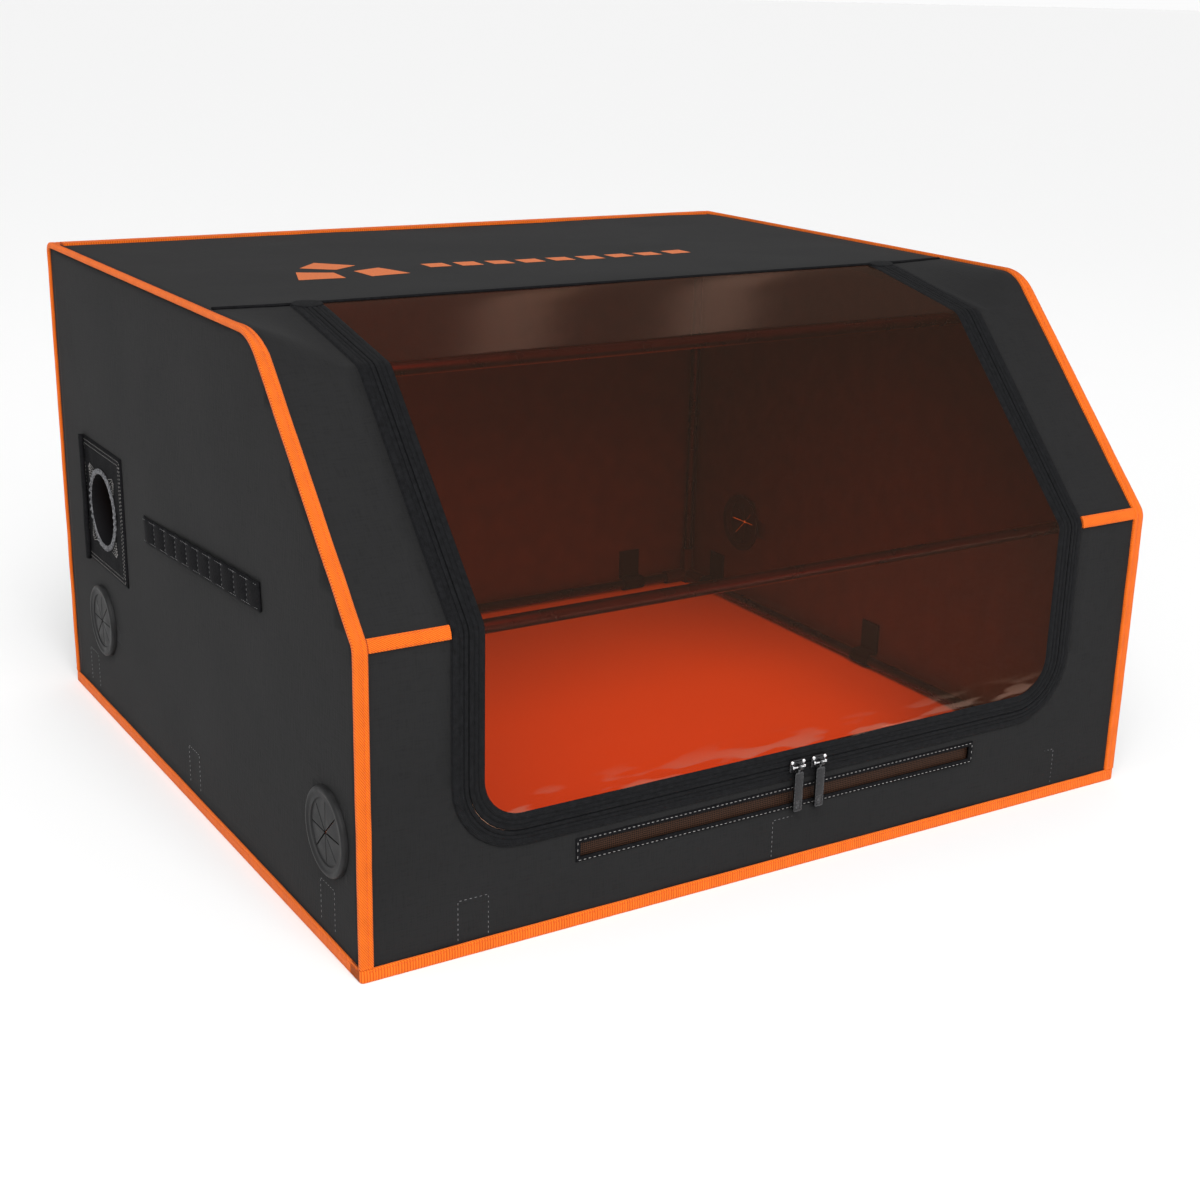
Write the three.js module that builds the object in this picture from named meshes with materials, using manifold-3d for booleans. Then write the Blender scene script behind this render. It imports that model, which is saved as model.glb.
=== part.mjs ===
// Enclosure tent for a desktop 3-D printer or engraver. A fabric cover is zipped
// round a frame of steel tubes and plastic corner connectors, with no floor. A tinted
// film window runs from the roof down the slanted front, and opens on a two-way zip.
// Millimetres, +Z up, -Y the front. The origin is on the floor, in the middle of the
// tent's footprint.

import * as THREE from 'three';
import { mergeVertices } from 'three/addons/utils/BufferGeometryUtils.js';
import Module from 'manifold-3d';

const wasm = await Module();
wasm.setup();

// ---------------------------------------------------------------- driving sizes

// The tent's outside, over the edge bindings.
const WIDTH = 700;
const DEPTH = 644;
const HEIGHT = 411;
const SILL_HEIGHT = 237; // top of the upright front, where the slant starts
const SLANT_RUN = 162; // how far behind the front the slant meets the roof
const CREASE_RADIUS = 45; // roof into slant
const SILL_RADIUS = 14; // slant into upright front
const REAR_RADIUS = 10; // roof into rear

// Thicknesses and the gap that touching pieces keep.
const GAP = 0.3;
const TAPE = 2; // folded binding tape
const CLOTH = 2;
const FILM = 1;
const MESH = 0.8;

// Binding tape: how much of it lies on the face and how much on the side.
const TAPE_FACE = 10;
const TAPE_SIDE = 5;
const HEM_HEIGHT = 10;
const HEM_FOLD = 1.5; // thickness of the hem under the cloth's edge

// Frame.
const TUBE_RADIUS = 5;
const TUBE_WALL = 0.8;
const TUBE_SIDES = 12;
const SOCKET_WALL = 1.9;
const SOCKET_CLEARANCE = 0.3;
const SOCKET_LENGTH = 30; // from the middle of the connector
const SOCKET_SOLID = 3; // plastic left between the bores of two sockets
const FOOT_WIDTH = 12;
const CREASE_TUBE_DROP = 34; // the crease tube lies this far down the slant from the corner

// Window zip: the line of the teeth, seen from the front.
const ZIP_MARGIN = 81; // from the tent's side
const ZIP_BOTTOM = 85;
const ZIP_RADIUS = 42;
const ZIP_TAPE = 12; // width of each half of the zip
const ZIP_THICKNESS = 3.4;
const ZIP_INSET = 0.4; // how far its outer face lies inside the tent's outline
const TEETH_GAP = 1.2;
const SEAM_BEHIND_CREASE = 95; // seam across the roof, where the window hangs
const SEGMENT_GAP = 0.8; // between the window's folding segments

// Zip sliders and pulls.
const SLIDER_MIDDLE_X = 15; // where the two sliders meet on the bottom run
const SLIDER_SPACE = 6; // between the two sliders
const SLIDER_LENGTH = 14;
const SLIDER_WIDTH = 10;
const SLIDER_PLATE = 1.6;
const SLIDER_CLEARANCE = 0.5; // between its plates and the zip
const SLIDER_CHAMFER = 2;
const SLIDER_NECK = 5.6;
const SLIDER_LUG = 2; // each foot of the bridge
const BAR_RADIUS = 0.8; // the slider's bridge, which the pull hangs on
const PULL_WIDTH = 8;
const PULL_LENGTH = 36;
const PULL_THICKNESS = 2;
const PULL_CHAMFER = 2;
const PULL_SLOT = [3.2, 5]; // width and length of the slot near its end
const PULL_SLOT_TO_END = 4;
const EYE_CLEARANCE = 0.3;
const EYE_WALL = 1.2;
const BAR_STAND = BAR_RADIUS + EYE_CLEARANCE + EYE_WALL + GAP; // over the slider's plate

// Air inlet: a long slot in the front, backed by mesh.
const INLET_LENGTH = 363;
const INLET_HEIGHT = 12;
const INLET_DROP = 4.9; // between the zip's tape and the border
const INLET_BORDER = 3;
const INLET_BORDER_THICKNESS = 1;
const INLET_LAP = 4; // how far the mesh runs behind the cloth

// Vent port in the left side.
const VENT_REAR_MARGIN = 122;
const VENT_Z = 197;
const VENT_RADIUS = 31; // clear opening
const VENT_PATCH_WIDTH = 107;
const VENT_PATCH_HEIGHT = 112;
const VENT_PATCH_THICKNESS = 1.6;
const COLLAR_WALL = 2;
const COLLAR_LIP = 5;
const COLLAR_STAND = 5; // over the patch
const COLLAR_REACH = 14; // behind the cloth
const PORT_ROLL_RADIUS = 3.5; // the port's cover, rolled up along the patch's rear edge

// Webbing for ties on the left side, rising towards the front.
const STRAP_LENGTH = 253;
const STRAP_HEIGHT = 22;
const STRAP_THICKNESS = 1.6;
const STRAP_LOOP = 2.4; // how far each loop stands out
const STRAP_LOOPS = 10;
const STRAP_TO_VENT = 55;
const STRAP_MIDDLE_Z = 216;
const STRAP_RISE = 3.5; // degrees

// Rubber cable grommets, two in each side.
const GROMMET_RADIUS = 32;
const GROMMET_NECK = 26;
const GROMMET_Z = 90;
const GROMMET_TO_TUBE = 3.2; // clear of the front upright
const GROMMET_REAR_MARGIN = 100;
const GROMMET_FLANGE = 2.5;
const GROMMET_RIM = 3; // the raised outer ring, over the flange
const GROMMET_RIM_WIDTH = 4;
const GROMMET_CHAMFER = 1;
const GROMMET_INNER_RADIUS = 30; // the flange behind the cloth
const MEMBRANE_RADIUS = 23;
const MEMBRANE = 1.5;
const SLITS = 8;
const SLIT_WIDTH = 0.8;
const SLIT_LENGTH = 19;
const GROMMET_SIDES = 24;

// Webbing loops sewn inside the hem, round the bottom tubes.
const LOOP_WIDTH = 25;
const LOOP_TOP = 44;
const LOOP_WEB = 1.2;
const LOOP_CLEARANCE = 0.6;
const LOOP_MARGIN_X = 85; // of the outer loops, from the tent's side
const LOOP_MARGIN_Y = 58;

// ---------------------------------------------------------------- derived sizes

const HALF_WIDTH = WIDTH / 2;
const HALF_DEPTH = DEPTH / 2;
const CREASE_Y = -HALF_DEPTH + SLANT_RUN;
const SEAM_Y = CREASE_Y + SEAM_BEHIND_CREASE;
const SLANT = Math.atan2(HEIGHT - SILL_HEIGHT, SLANT_RUN);
const CLOTH_OUT = TAPE + GAP; // insets from the tent's outline
const CLOTH_IN = CLOTH_OUT + CLOTH;
const SOCKET_RADIUS = TUBE_RADIUS + SOCKET_CLEARANCE + SOCKET_WALL;
const FRAME_INSET = CLOTH_IN + GAP + SOCKET_RADIUS;
const FRAME_X = HALF_WIDTH - FRAME_INSET;
const SOCKET_FLOOR = TUBE_RADIUS + SOCKET_SOLID; // where a tube stops, from the middle
const ZIP_IN = ZIP_INSET + ZIP_THICKNESS;
const FILM_OUT = ZIP_INSET + (ZIP_THICKNESS - FILM) / 2;
const ZIP_HALF_WIDTH = HALF_WIDTH - ZIP_MARGIN;
const ZIP_OUTER_EDGE = TEETH_GAP / 2 + ZIP_TAPE; // from the line of the teeth
const INLET_TOP = ZIP_BOTTOM - ZIP_OUTER_EDGE - INLET_DROP - INLET_BORDER;
const INLET_Z = INLET_TOP - INLET_HEIGHT / 2;
const HEM_TOP = HEM_HEIGHT + GAP;
const CLOTH_BOTTOM = HEM_FOLD + GAP;
const LOOP_HOLLOW = TUBE_RADIUS + LOOP_CLEARANCE;
const BOTTOM_TUBE_Z = CLOTH_BOTTOM + LOOP_WEB + LOOP_HOLLOW;
const VENT_Y = HALF_DEPTH - VENT_REAR_MARGIN;
const STRAP_MIDDLE_Y = VENT_Y - VENT_PATCH_WIDTH / 2 - STRAP_TO_VENT - STRAP_LENGTH / 2;
const GROMMET_FRONT_Y = -HALF_DEPTH + FRAME_INSET + TUBE_RADIUS + GROMMET_TO_TUBE + GROMMET_RADIUS;
const GROMMET_REAR_Y = HALF_DEPTH - GROMMET_REAR_MARGIN;
const BEYOND = 2 * (WIDTH + DEPTH + HEIGHT); // longer than anything here

// ---------------------------------------------------------------- solids

// A geometry as a manifold solid, and back.
function solid(geometry) {
  const bare = geometry.clone();
  bare.deleteAttribute('normal');
  bare.deleteAttribute('uv');
  const merged = mergeVertices(bare, 1e-4);
  const mesh = new wasm.Mesh({
    numProp: 3,
    vertProperties: new Float32Array(merged.attributes.position.array),
    triVerts: new Uint32Array(merged.index.array),
  });
  return new wasm.Manifold(mesh);
}

function geometryOf(shape) {
  const mesh = shape.getMesh();
  const geometry = new THREE.BufferGeometry();
  geometry.setAttribute('position', new THREE.BufferAttribute(mesh.vertProperties, 3));
  geometry.setIndex(new THREE.BufferAttribute(mesh.triVerts, 1));
  const flat = geometry.toNonIndexed();
  flat.computeVertexNormals();
  return flat;
}

const X = new THREE.Vector3(1, 0, 0);
const Y = new THREE.Vector3(0, 1, 0);
const Z = new THREE.Vector3(0, 0, 1);
const DRAWN_ON_SIDE = new THREE.Matrix4().makeBasis(Y, Z, X); // shape (y, z), pushed along +X
const DRAWN_ON_FRONT = new THREE.Matrix4().makeBasis(X, Z, Y.clone().negate()); // (x, z), along -Y

function extrude(points, length) {
  const shape = new THREE.Shape(points.map(([u, v]) => new THREE.Vector2(u, v)));
  return new THREE.ExtrudeGeometry(shape, { depth: length, bevelEnabled: false });
}

// A prism across the tent, from its (y, z) section.
function across(points, x0, x1) {
  const prism = extrude(points, x1 - x0).applyMatrix4(DRAWN_ON_SIDE);
  return solid(prism.translate(x0, 0, 0));
}

// A prism through the tent from front to back, from its (x, z) section.
function through(points, y0 = -BEYOND, y1 = BEYOND) {
  const prism = extrude(points, y1 - y0).applyMatrix4(DRAWN_ON_FRONT);
  return solid(prism.translate(0, y1, 0));
}

function block([x0, x1], [y0, y1], [z0, z1]) {
  const box = new THREE.BoxGeometry(x1 - x0, y1 - y0, z1 - z0);
  return solid(box.translate((x0 + x1) / 2, (y0 + y1) / 2, (z0 + z1) / 2));
}

// A turned solid from its closed (radius, length) profile, its axis along a direction.
function turned(profile, sides, at, direction) {
  const points = profile.map(([r, l]) => new THREE.Vector2(r, l));
  if (THREE.ShapeUtils.isClockWise(points)) points.reverse();
  const geometry = new THREE.LatheGeometry([...points, points[0]], sides);
  const turn = new THREE.Quaternion().setFromUnitVectors(Y, direction);
  return solid(geometry.applyQuaternion(turn).translate(at.x, at.y, at.z));
}

function joined(...solids) {
  return solids.reduce((whole, next) => whole.add(next));
}

// ---------------------------------------------------------------- the tent's outline

// The outline's three bends, in the order front, roof, rear. Headings run along the
// outline, up the front and back over the roof.
const BENDS = {
  sill: { y: -HALF_DEPTH, z: SILL_HEIGHT, r: SILL_RADIUS, from: Math.PI / 2, to: SLANT, steps: 4 },
  crease: { y: CREASE_Y, z: HEIGHT, r: CREASE_RADIUS, from: SLANT, to: 0, steps: 8 },
  rear: { y: HALF_DEPTH, z: HEIGHT, r: REAR_RADIUS, from: 0, to: -Math.PI / 2, steps: 4 },
};

// A point on a bend, drawn in from the outline, where the outline has this heading.
function onBend(bend, inset, heading = (bend.from + bend.to) / 2) {
  const middle = (bend.from + bend.to) / 2;
  const core = Math.max(bend.r, inset);
  const reach = core / Math.cos((bend.from - bend.to) / 2);
  const centre = [bend.y + reach * Math.sin(middle), bend.z - reach * Math.cos(middle)];
  const radius = core - inset;
  return [centre[0] - radius * Math.sin(heading), centre[1] + radius * Math.cos(heading)];
}

// The whole outline, drawn in by an inset, from the floor in front to the floor behind.
function outline(inset, bottom) {
  const points = [[-HALF_DEPTH + inset, bottom]];
  for (const bend of Object.values(BENDS)) {
    const steps = bend.r > inset ? bend.steps : 0;
    for (let i = 0; i <= steps; i++) {
      const heading = steps ? bend.from + ((bend.to - bend.from) * i) / steps : bend.from;
      points.push(onBend(bend, inset, heading));
    }
  }
  points.push([HALF_DEPTH - inset, bottom]);
  return points;
}

// A layer of the skin that follows the outline, between two insets.
function layer(outer, inner, x0, x1, bottom = CLOTH_BOTTOM) {
  const loop = [...outline(outer, bottom), ...outline(inner, bottom).reverse()];
  return across(loop, x0, x1);
}

// Everything ahead of, or behind, a line drawn square across the skin at a bend.
function pastBend(bend, side) {
  const middle = (bend.from + bend.to) / 2;
  const along = [Math.cos(middle), Math.sin(middle)];
  const square = [-along[1], along[0]];
  const [y, z] = onBend(bend, ZIP_INSET);
  const start = [y + (along[0] * side * SEGMENT_GAP) / 2, z + (along[1] * side * SEGMENT_GAP) / 2];
  const corner = (a, s) => [
    start[0] + along[0] * a * side * BEYOND + square[0] * s * BEYOND,
    start[1] + along[1] * a * side * BEYOND + square[1] * s * BEYOND,
  ];
  const loop = [corner(0, -1), corner(1, -1), corner(1, 1), corner(0, 1)];
  return across(loop, -BEYOND, BEYOND);
}

const EVERYWHERE = [-BEYOND, BEYOND];
const AHEAD_OF_SEAM = block(EVERYWHERE, [-BEYOND, SEAM_Y - SEGMENT_GAP], EVERYWHERE);

// The area inside the line of the zip's teeth, moved out by an offset, seen from the
// front: a U with round lower corners, open at the top.
function insideZip(offset) {
  const half = ZIP_HALF_WIDTH + offset;
  const bottom = ZIP_BOTTOM - offset;
  const radius = ZIP_RADIUS + offset;
  const steps = 8;
  const points = [];
  for (const side of [-1, 1]) {
    for (let i = 0; i <= steps; i++) {
      const turn = ((side < 0 ? i : steps - i) / steps) * (Math.PI / 2);
      points.push([
        side * (half - radius + radius * Math.cos(turn)),
        bottom + radius - radius * Math.sin(turn),
      ]);
    }
  }
  return through([...points, [half, BEYOND], [-half, BEYOND]]);
}

// ---------------------------------------------------------------- materials

const material = (color, roughness, metalness = 0, extra = {}) =>
  new THREE.MeshStandardMaterial({ color, roughness, metalness, ...extra });

const FINISH = {
  cloth: () => material(0x2b2b2c, 0.85),
  binding: () => material(0xf26a1b, 0.8),
  zip: () => material(0x303133, 0.8),
  film: () => material(0x7a2a12, 0.12, 0, { transparent: true, opacity: 0.6 }),
  mesh: () => material(0x1c1a19, 0.9),
  webbing: () => material(0x1d1e20, 0.85),
  rubber: () => material(0x2a2b2c, 0.7),
  steel: () => material(0x1b1b1c, 0.35, 0.6),
  plastic: () => material(0x161617, 0.5),
  nickel: () => material(0xc9ccd0, 0.2, 1),
  pull: () => material(0x101112, 0.25, 0.8),
};

const tent = new THREE.Group();

function add(name, shape, finish, parent = tent) {
  const mesh = new THREE.Mesh(geometryOf(shape), FINISH[finish]());
  mesh.name = name;
  parent.add(mesh);
  return mesh;
}

// ---------------------------------------------------------------- frame

// The frame's corners in one side plane, as (y, z).
const CORNERS = {
  front_foot: [-HALF_DEPTH + FRAME_INSET, BOTTOM_TUBE_Z],
  sill: onBend(BENDS.sill, FRAME_INSET),
  crease: [
    CREASE_Y + FRAME_INSET * Math.sin(SLANT) - CREASE_TUBE_DROP * Math.cos(SLANT),
    HEIGHT - FRAME_INSET * Math.cos(SLANT) - CREASE_TUBE_DROP * Math.sin(SLANT),
  ],
  roof_rear: onBend(BENDS.rear, FRAME_INSET),
  rear_foot: [HALF_DEPTH - FRAME_INSET, BOTTOM_TUBE_Z],
};
const SIDE_TUBES = {
  front_upright: ['front_foot', 'sill'],
  slant_tube: ['sill', 'crease'],
  roof_tube: ['crease', 'roof_rear'],
  rear_upright: ['roof_rear', 'rear_foot'],
  floor_tube: ['rear_foot', 'front_foot'],
};

const SIDES = { left: -1, right: 1 };
const cornerAt = (corner, side) => new THREE.Vector3(side * FRAME_X, ...CORNERS[corner]);

// A round steel tube between two connectors, its ends inside their sockets.
function tube(from, to) {
  const direction = to.clone().sub(from);
  const end = SOCKET_FLOOR + GAP;
  const length = direction.length() - 2 * end;
  direction.normalize();
  const inner = TUBE_RADIUS - TUBE_WALL;
  const profile = [
    [inner, 0],
    [TUBE_RADIUS, 0],
    [TUBE_RADIUS, length],
    [inner, length],
  ];
  return turned(profile, TUBE_SIDES, from.clone().addScaledVector(direction, end), direction);
}

// A plastic corner connector: a round hub with a blind socket for each tube.
function connector(at, neighbours, hasFoot) {
  const directions = neighbours.map((other) => other.clone().sub(at).normalize());
  const rod = (radius, from, to, direction) =>
    solid(
      new THREE.CylinderGeometry(radius, radius, to - from, TUBE_SIDES)
        .translate(0, (from + to) / 2, 0)
        .applyQuaternion(new THREE.Quaternion().setFromUnitVectors(Y, direction))
        .translate(at.x, at.y, at.z),
    );
  const hub = new THREE.IcosahedronGeometry(SOCKET_RADIUS, 1).translate(at.x, at.y, at.z);
  let body = joined(
    solid(hub),
    ...directions.map((direction) => rod(SOCKET_RADIUS, 0, SOCKET_LENGTH, direction)),
  );
  if (hasFoot) {
    const half = FOOT_WIDTH / 2;
    const foot = block([at.x - half, at.x + half], [at.y - half, at.y + half], [0, at.z]);
    body = body.add(foot);
  }
  const bore = TUBE_RADIUS + SOCKET_CLEARANCE;
  for (const direction of directions) {
    body = body.subtract(rod(bore, SOCKET_FLOOR, SOCKET_LENGTH + 1, direction));
  }
  return body;
}

for (const [hand, side] of Object.entries(SIDES)) {
  for (const [name, [a, b]] of Object.entries(SIDE_TUBES)) {
    add(`${name}_${hand}`, tube(cornerAt(a, side), cornerAt(b, side)), 'steel');
  }
  for (const corner of Object.keys(CORNERS)) {
    const neighbours = Object.values(SIDE_TUBES)
      .filter((ends) => ends.includes(corner))
      .map(([a, b]) => cornerAt(a === corner ? b : a, side));
    neighbours.push(cornerAt(corner, -side));
    const hasFoot = corner.endsWith('foot');
    add(`connector_${corner}_${hand}`, connector(cornerAt(corner, side), neighbours, hasFoot), 'plastic');
  }
}
for (const corner of Object.keys(CORNERS)) {
  add(`cross_tube_${corner}`, tube(cornerAt(corner, -1), cornerAt(corner, 1)), 'steel');
}

// ---------------------------------------------------------------- fabric panels

// The section of a webbing loop: sewn flat inside the cloth above, then round the
// bottom tube and back to the cloth. Drawn as (depth behind the outline, height).
function loopSection() {
  const steps = 8;
  const sewn = CLOTH_IN - CLOTH / 4; // run into the cloth, as the stitches do
  const web = CLOTH_IN + LOOP_WEB;
  const round = (radius) =>
    Array.from({ length: steps + 1 }, (_, i) => {
      const turn = Math.PI / 2 - (i / steps) * Math.PI;
      return [FRAME_INSET + radius * Math.cos(turn), BOTTOM_TUBE_Z + radius * Math.sin(turn)];
    });
  const outer = LOOP_HOLLOW + LOOP_WEB;
  return [
    [sewn, LOOP_TOP],
    [web, LOOP_TOP],
    [web, BOTTOM_TUBE_Z + outer],
    ...round(outer),
    [sewn, BOTTOM_TUBE_Z - outer],
    [sewn, BOTTOM_TUBE_Z - LOOP_HOLLOW],
    ...round(LOOP_HOLLOW).reverse(),
    [sewn, BOTTOM_TUBE_Z + LOOP_HOLLOW],
  ];
}

function webbingLoop(middle, wall) {
  const loop = extrude(loopSection(), LOOP_WIDTH).translate(0, 0, middle - LOOP_WIDTH / 2);
  return solid(loop.applyMatrix4(wall));
}

const LOOPS_FRONT = [-1, 0, 1].map((side) => side * (HALF_WIDTH - LOOP_MARGIN_X));
const LOOPS_SIDE = [-1, 0, 1].map((side) => side * (HALF_DEPTH - LOOP_MARGIN_Y));
const FRONT_WALL = new THREE.Matrix4()
  .makeBasis(Y, Z, X)
  .premultiply(new THREE.Matrix4().makeTranslation(0, -HALF_DEPTH, 0));
const REAR_WALL = new THREE.Matrix4().makeRotationZ(Math.PI).multiply(FRONT_WALL);
const LEFT_WALL = new THREE.Matrix4()
  .makeBasis(X, Z, Y.clone().negate())
  .premultiply(new THREE.Matrix4().makeTranslation(-HALF_WIDTH, 0, 0));
const RIGHT_WALL = new THREE.Matrix4().makeRotationZ(Math.PI).multiply(LEFT_WALL);

// A disc-shaped cutter through one side wall.
function sideHole(radius, y, z, side) {
  const cutter = new THREE.CylinderGeometry(radius, radius, 8 * CLOTH_IN, 24)
    .rotateZ(Math.PI / 2)
    .translate(side * HALF_WIDTH, y, z);
  return solid(cutter);
}

const NECK_HOLE = GROMMET_NECK + GAP;
for (const [hand, side] of Object.entries(SIDES)) {
  const edges = [side * (HALF_WIDTH - CLOTH_OUT), side * (HALF_WIDTH - CLOTH_IN)];
  const sheet = across(outline(CLOTH_OUT, CLOTH_BOTTOM), Math.min(...edges), Math.max(...edges));
  const wall = side < 0 ? LEFT_WALL : RIGHT_WALL;
  let panel = joined(sheet, ...LOOPS_SIDE.map((middle) => webbingLoop(middle, wall)));
  for (const y of [GROMMET_FRONT_Y, GROMMET_REAR_Y]) {
    panel = panel.subtract(sideHole(NECK_HOLE, y, GROMMET_Z, side));
  }
  if (side < 0) {
    panel = panel.subtract(sideHole(VENT_RADIUS + COLLAR_WALL + GAP, VENT_Y, VENT_Z, side));
  }
  add(`side_panel_${hand}`, panel, 'cloth');
}

const CLOTH_EDGE_X = HALF_WIDTH - CLOTH_IN - GAP;
const CLOTH_SKIN = layer(CLOTH_OUT, CLOTH_IN, -CLOTH_EDGE_X, CLOTH_EDGE_X);
const WINDOW_HOLE = insideZip(ZIP_OUTER_EDGE + GAP);
const SPLIT = GAP / 2;
const ROOF_EDGE_Z = HEIGHT - REAR_RADIUS;

const frontPanels = CLOTH_SKIN.subtract(WINDOW_HOLE);
for (const [hand, side] of Object.entries(SIDES)) {
  const half = side < 0 ? [-BEYOND, 0] : [0, BEYOND];
  const region = block(half, [-BEYOND, SEAM_Y - GAP], [SILL_HEIGHT + SPLIT, BEYOND]);
  add(`slant_panel_${hand}`, frontPanels.intersect(region), 'cloth');
}
const inletSlot = block(
  [-INLET_LENGTH / 2, INLET_LENGTH / 2],
  [-BEYOND, 0],
  [INLET_Z - INLET_HEIGHT / 2, INLET_Z + INLET_HEIGHT / 2],
);
const lowerFront = frontPanels
  .intersect(block(EVERYWHERE, [-BEYOND, 0], [-BEYOND, SILL_HEIGHT - SPLIT]))
  .subtract(inletSlot);
const frontLoops = LOOPS_FRONT.map((middle) => webbingLoop(middle, FRONT_WALL));
add('front_panel', joined(lowerFront, ...frontLoops), 'cloth');

const roof = CLOTH_SKIN.intersect(block(EVERYWHERE, [SEAM_Y, BEYOND], [ROOF_EDGE_Z, BEYOND]));
add('roof_panel', roof, 'cloth');
const rear = CLOTH_SKIN.intersect(block(EVERYWHERE, [0, BEYOND], [-BEYOND, ROOF_EDGE_Z - GAP]));
const rearLoops = LOOPS_FRONT.map((middle) => webbingLoop(middle, REAR_WALL));
add('rear_panel', joined(rear, ...rearLoops), 'cloth');

// ---------------------------------------------------------------- bindings

for (const [hand, side] of Object.entries(SIDES)) {
  const span = (width) => [side * HALF_WIDTH, side * (HALF_WIDTH - width)].sort((a, b) => a - b);
  const face = layer(0, TAPE, ...span(TAPE_FACE), HEM_TOP);
  const edge = layer(0, TAPE_SIDE, ...span(TAPE), HEM_TOP);
  add(`edge_binding_${hand}`, face.add(edge), 'binding');

  const tape = [side * (HALF_WIDTH - TAPE_FACE - GAP), side * (ZIP_HALF_WIDTH + ZIP_OUTER_EDGE + GAP)];
  const strip = layer(0, TAPE, Math.min(...tape), Math.max(...tape));
  const height = [SILL_HEIGHT - TAPE_FACE / 2, SILL_HEIGHT + TAPE_FACE / 2];
  add(`sill_tape_${hand}`, strip.intersect(block(EVERYWHERE, [-BEYOND, 0], height)), 'binding');
}

const innerEdgeX = HALF_WIDTH - TAPE_FACE - GAP;
const rearTape = layer(0, TAPE, -innerEdgeX, innerEdgeX).intersect(
  block(EVERYWHERE, [HALF_DEPTH - REAR_RADIUS - TAPE_FACE, BEYOND], [ROOF_EDGE_Z - TAPE_SIDE, BEYOND]),
);
add('roof_rear_binding', rearTape, 'binding');

// The hem goes all round: a band outside the cloth and a fold under its edge.
const footprint = (inset, z) =>
  block([-HALF_WIDTH + inset, HALF_WIDTH - inset], [-HALF_DEPTH + inset, HALF_DEPTH - inset], z);
const hemBand = footprint(0, [0, HEM_HEIGHT]).subtract(footprint(TAPE, EVERYWHERE));
const hemFold = footprint(0, [0, HEM_FOLD]).subtract(footprint(CLOTH_IN, EVERYWHERE));
add('hem_binding', hemBand.add(hemFold), 'binding');

// ---------------------------------------------------------------- window and its zip

const HALF_TEETH = TEETH_GAP / 2;
const ZIP_SKIN = layer(ZIP_INSET, ZIP_IN, -HALF_WIDTH, HALF_WIDTH).intersect(AHEAD_OF_SEAM);
const FILM_SKIN = layer(FILM_OUT, FILM_OUT + FILM, -HALF_WIDTH, HALF_WIDTH).intersect(AHEAD_OF_SEAM);

const outerZip = insideZip(ZIP_OUTER_EDGE).subtract(insideZip(HALF_TEETH));
add('zip_outer_half', ZIP_SKIN.intersect(outerZip), 'zip');

const innerZip = insideZip(-HALF_TEETH).subtract(insideZip(-ZIP_OUTER_EDGE));
const windowFilm = insideZip(-ZIP_OUTER_EDGE - GAP);
const behindCrease = pastBend(BENDS.crease, 1);
const aheadOfCrease = pastBend(BENDS.crease, -1);
const aboveSill = pastBend(BENDS.sill, 1);
const belowSill = pastBend(BENDS.sill, -1);
const SEGMENTS = {
  roof: behindCrease,
  slant: aheadOfCrease.intersect(aboveSill),
  front: belowSill,
};
for (const [segment, region] of Object.entries(SEGMENTS)) {
  add(`window_film_${segment}`, FILM_SKIN.intersect(windowFilm).intersect(region), 'film');
  const zip = ZIP_SKIN.intersect(innerZip).intersect(region);
  if (segment === 'front') {
    add('zip_inner_front', zip, 'zip');
    continue;
  }
  for (const [hand, side] of Object.entries(SIDES)) {
    const half = block(side < 0 ? [-BEYOND, 0] : [0, BEYOND], EVERYWHERE, EVERYWHERE);
    add(`zip_inner_${segment}_${hand}`, zip.intersect(half), 'zip');
  }
}

// ---------------------------------------------------------------- zip sliders and pulls

// A slider holds the two halves of the zip between its plates. A thin neck passes
// between the teeth, and a bridge on the outer plate carries the pull.
const FRONT_Y = -HALF_DEPTH;
const OUTER_PLATE_Y = FRONT_Y + ZIP_INSET - SLIDER_CLEARANCE;
const INNER_PLATE_Y = FRONT_Y + ZIP_IN + SLIDER_CLEARANCE;
const BAR_Y = OUTER_PLATE_Y - SLIDER_PLATE - BAR_STAND;

// A rectangle with its corners cut off, as an (x, z) loop.
function chamfered(x, z, cut) {
  return [
    [x[0], z[0] + cut],
    [x[0] + cut, z[0]],
    [x[1] - cut, z[0]],
    [x[1], z[0] + cut],
    [x[1], z[1] - cut],
    [x[1] - cut, z[1]],
    [x[0] + cut, z[1]],
    [x[0], z[1] - cut],
  ];
}

function slider() {
  const half = SLIDER_LENGTH / 2;
  const wide = SLIDER_WIDTH / 2;
  const plate = chamfered([-half, half], [-wide, wide], SLIDER_CHAMFER);
  const outer = through(plate, OUTER_PLATE_Y - SLIDER_PLATE, OUTER_PLATE_Y);
  const inner = through(plate, INNER_PLATE_Y, INNER_PLATE_Y + SLIDER_PLATE);
  const embed = SLIDER_PLATE / 2; // how far the neck and lugs run into the plates
  const neckHalf = HALF_TEETH - GAP;
  const neck = block(
    [-SLIDER_NECK / 2, SLIDER_NECK / 2],
    [OUTER_PLATE_Y - embed, INNER_PLATE_Y + embed],
    [-neckHalf, neckHalf],
  );
  const lugs = [-1, 1].map((end) => {
    const x = end * (half - SLIDER_LUG);
    const y = [BAR_Y - BAR_RADIUS, OUTER_PLATE_Y - embed];
    return block([x - SLIDER_LUG / 2, x + SLIDER_LUG / 2], y, [-BAR_RADIUS, BAR_RADIUS]);
  });
  const bar = new THREE.CylinderGeometry(BAR_RADIUS, BAR_RADIUS, 2 * (half - SLIDER_LUG), 10)
    .rotateZ(Math.PI / 2)
    .translate(0, BAR_Y, 0);
  return joined(outer, inner, neck, ...lugs, solid(bar));
}

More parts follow.
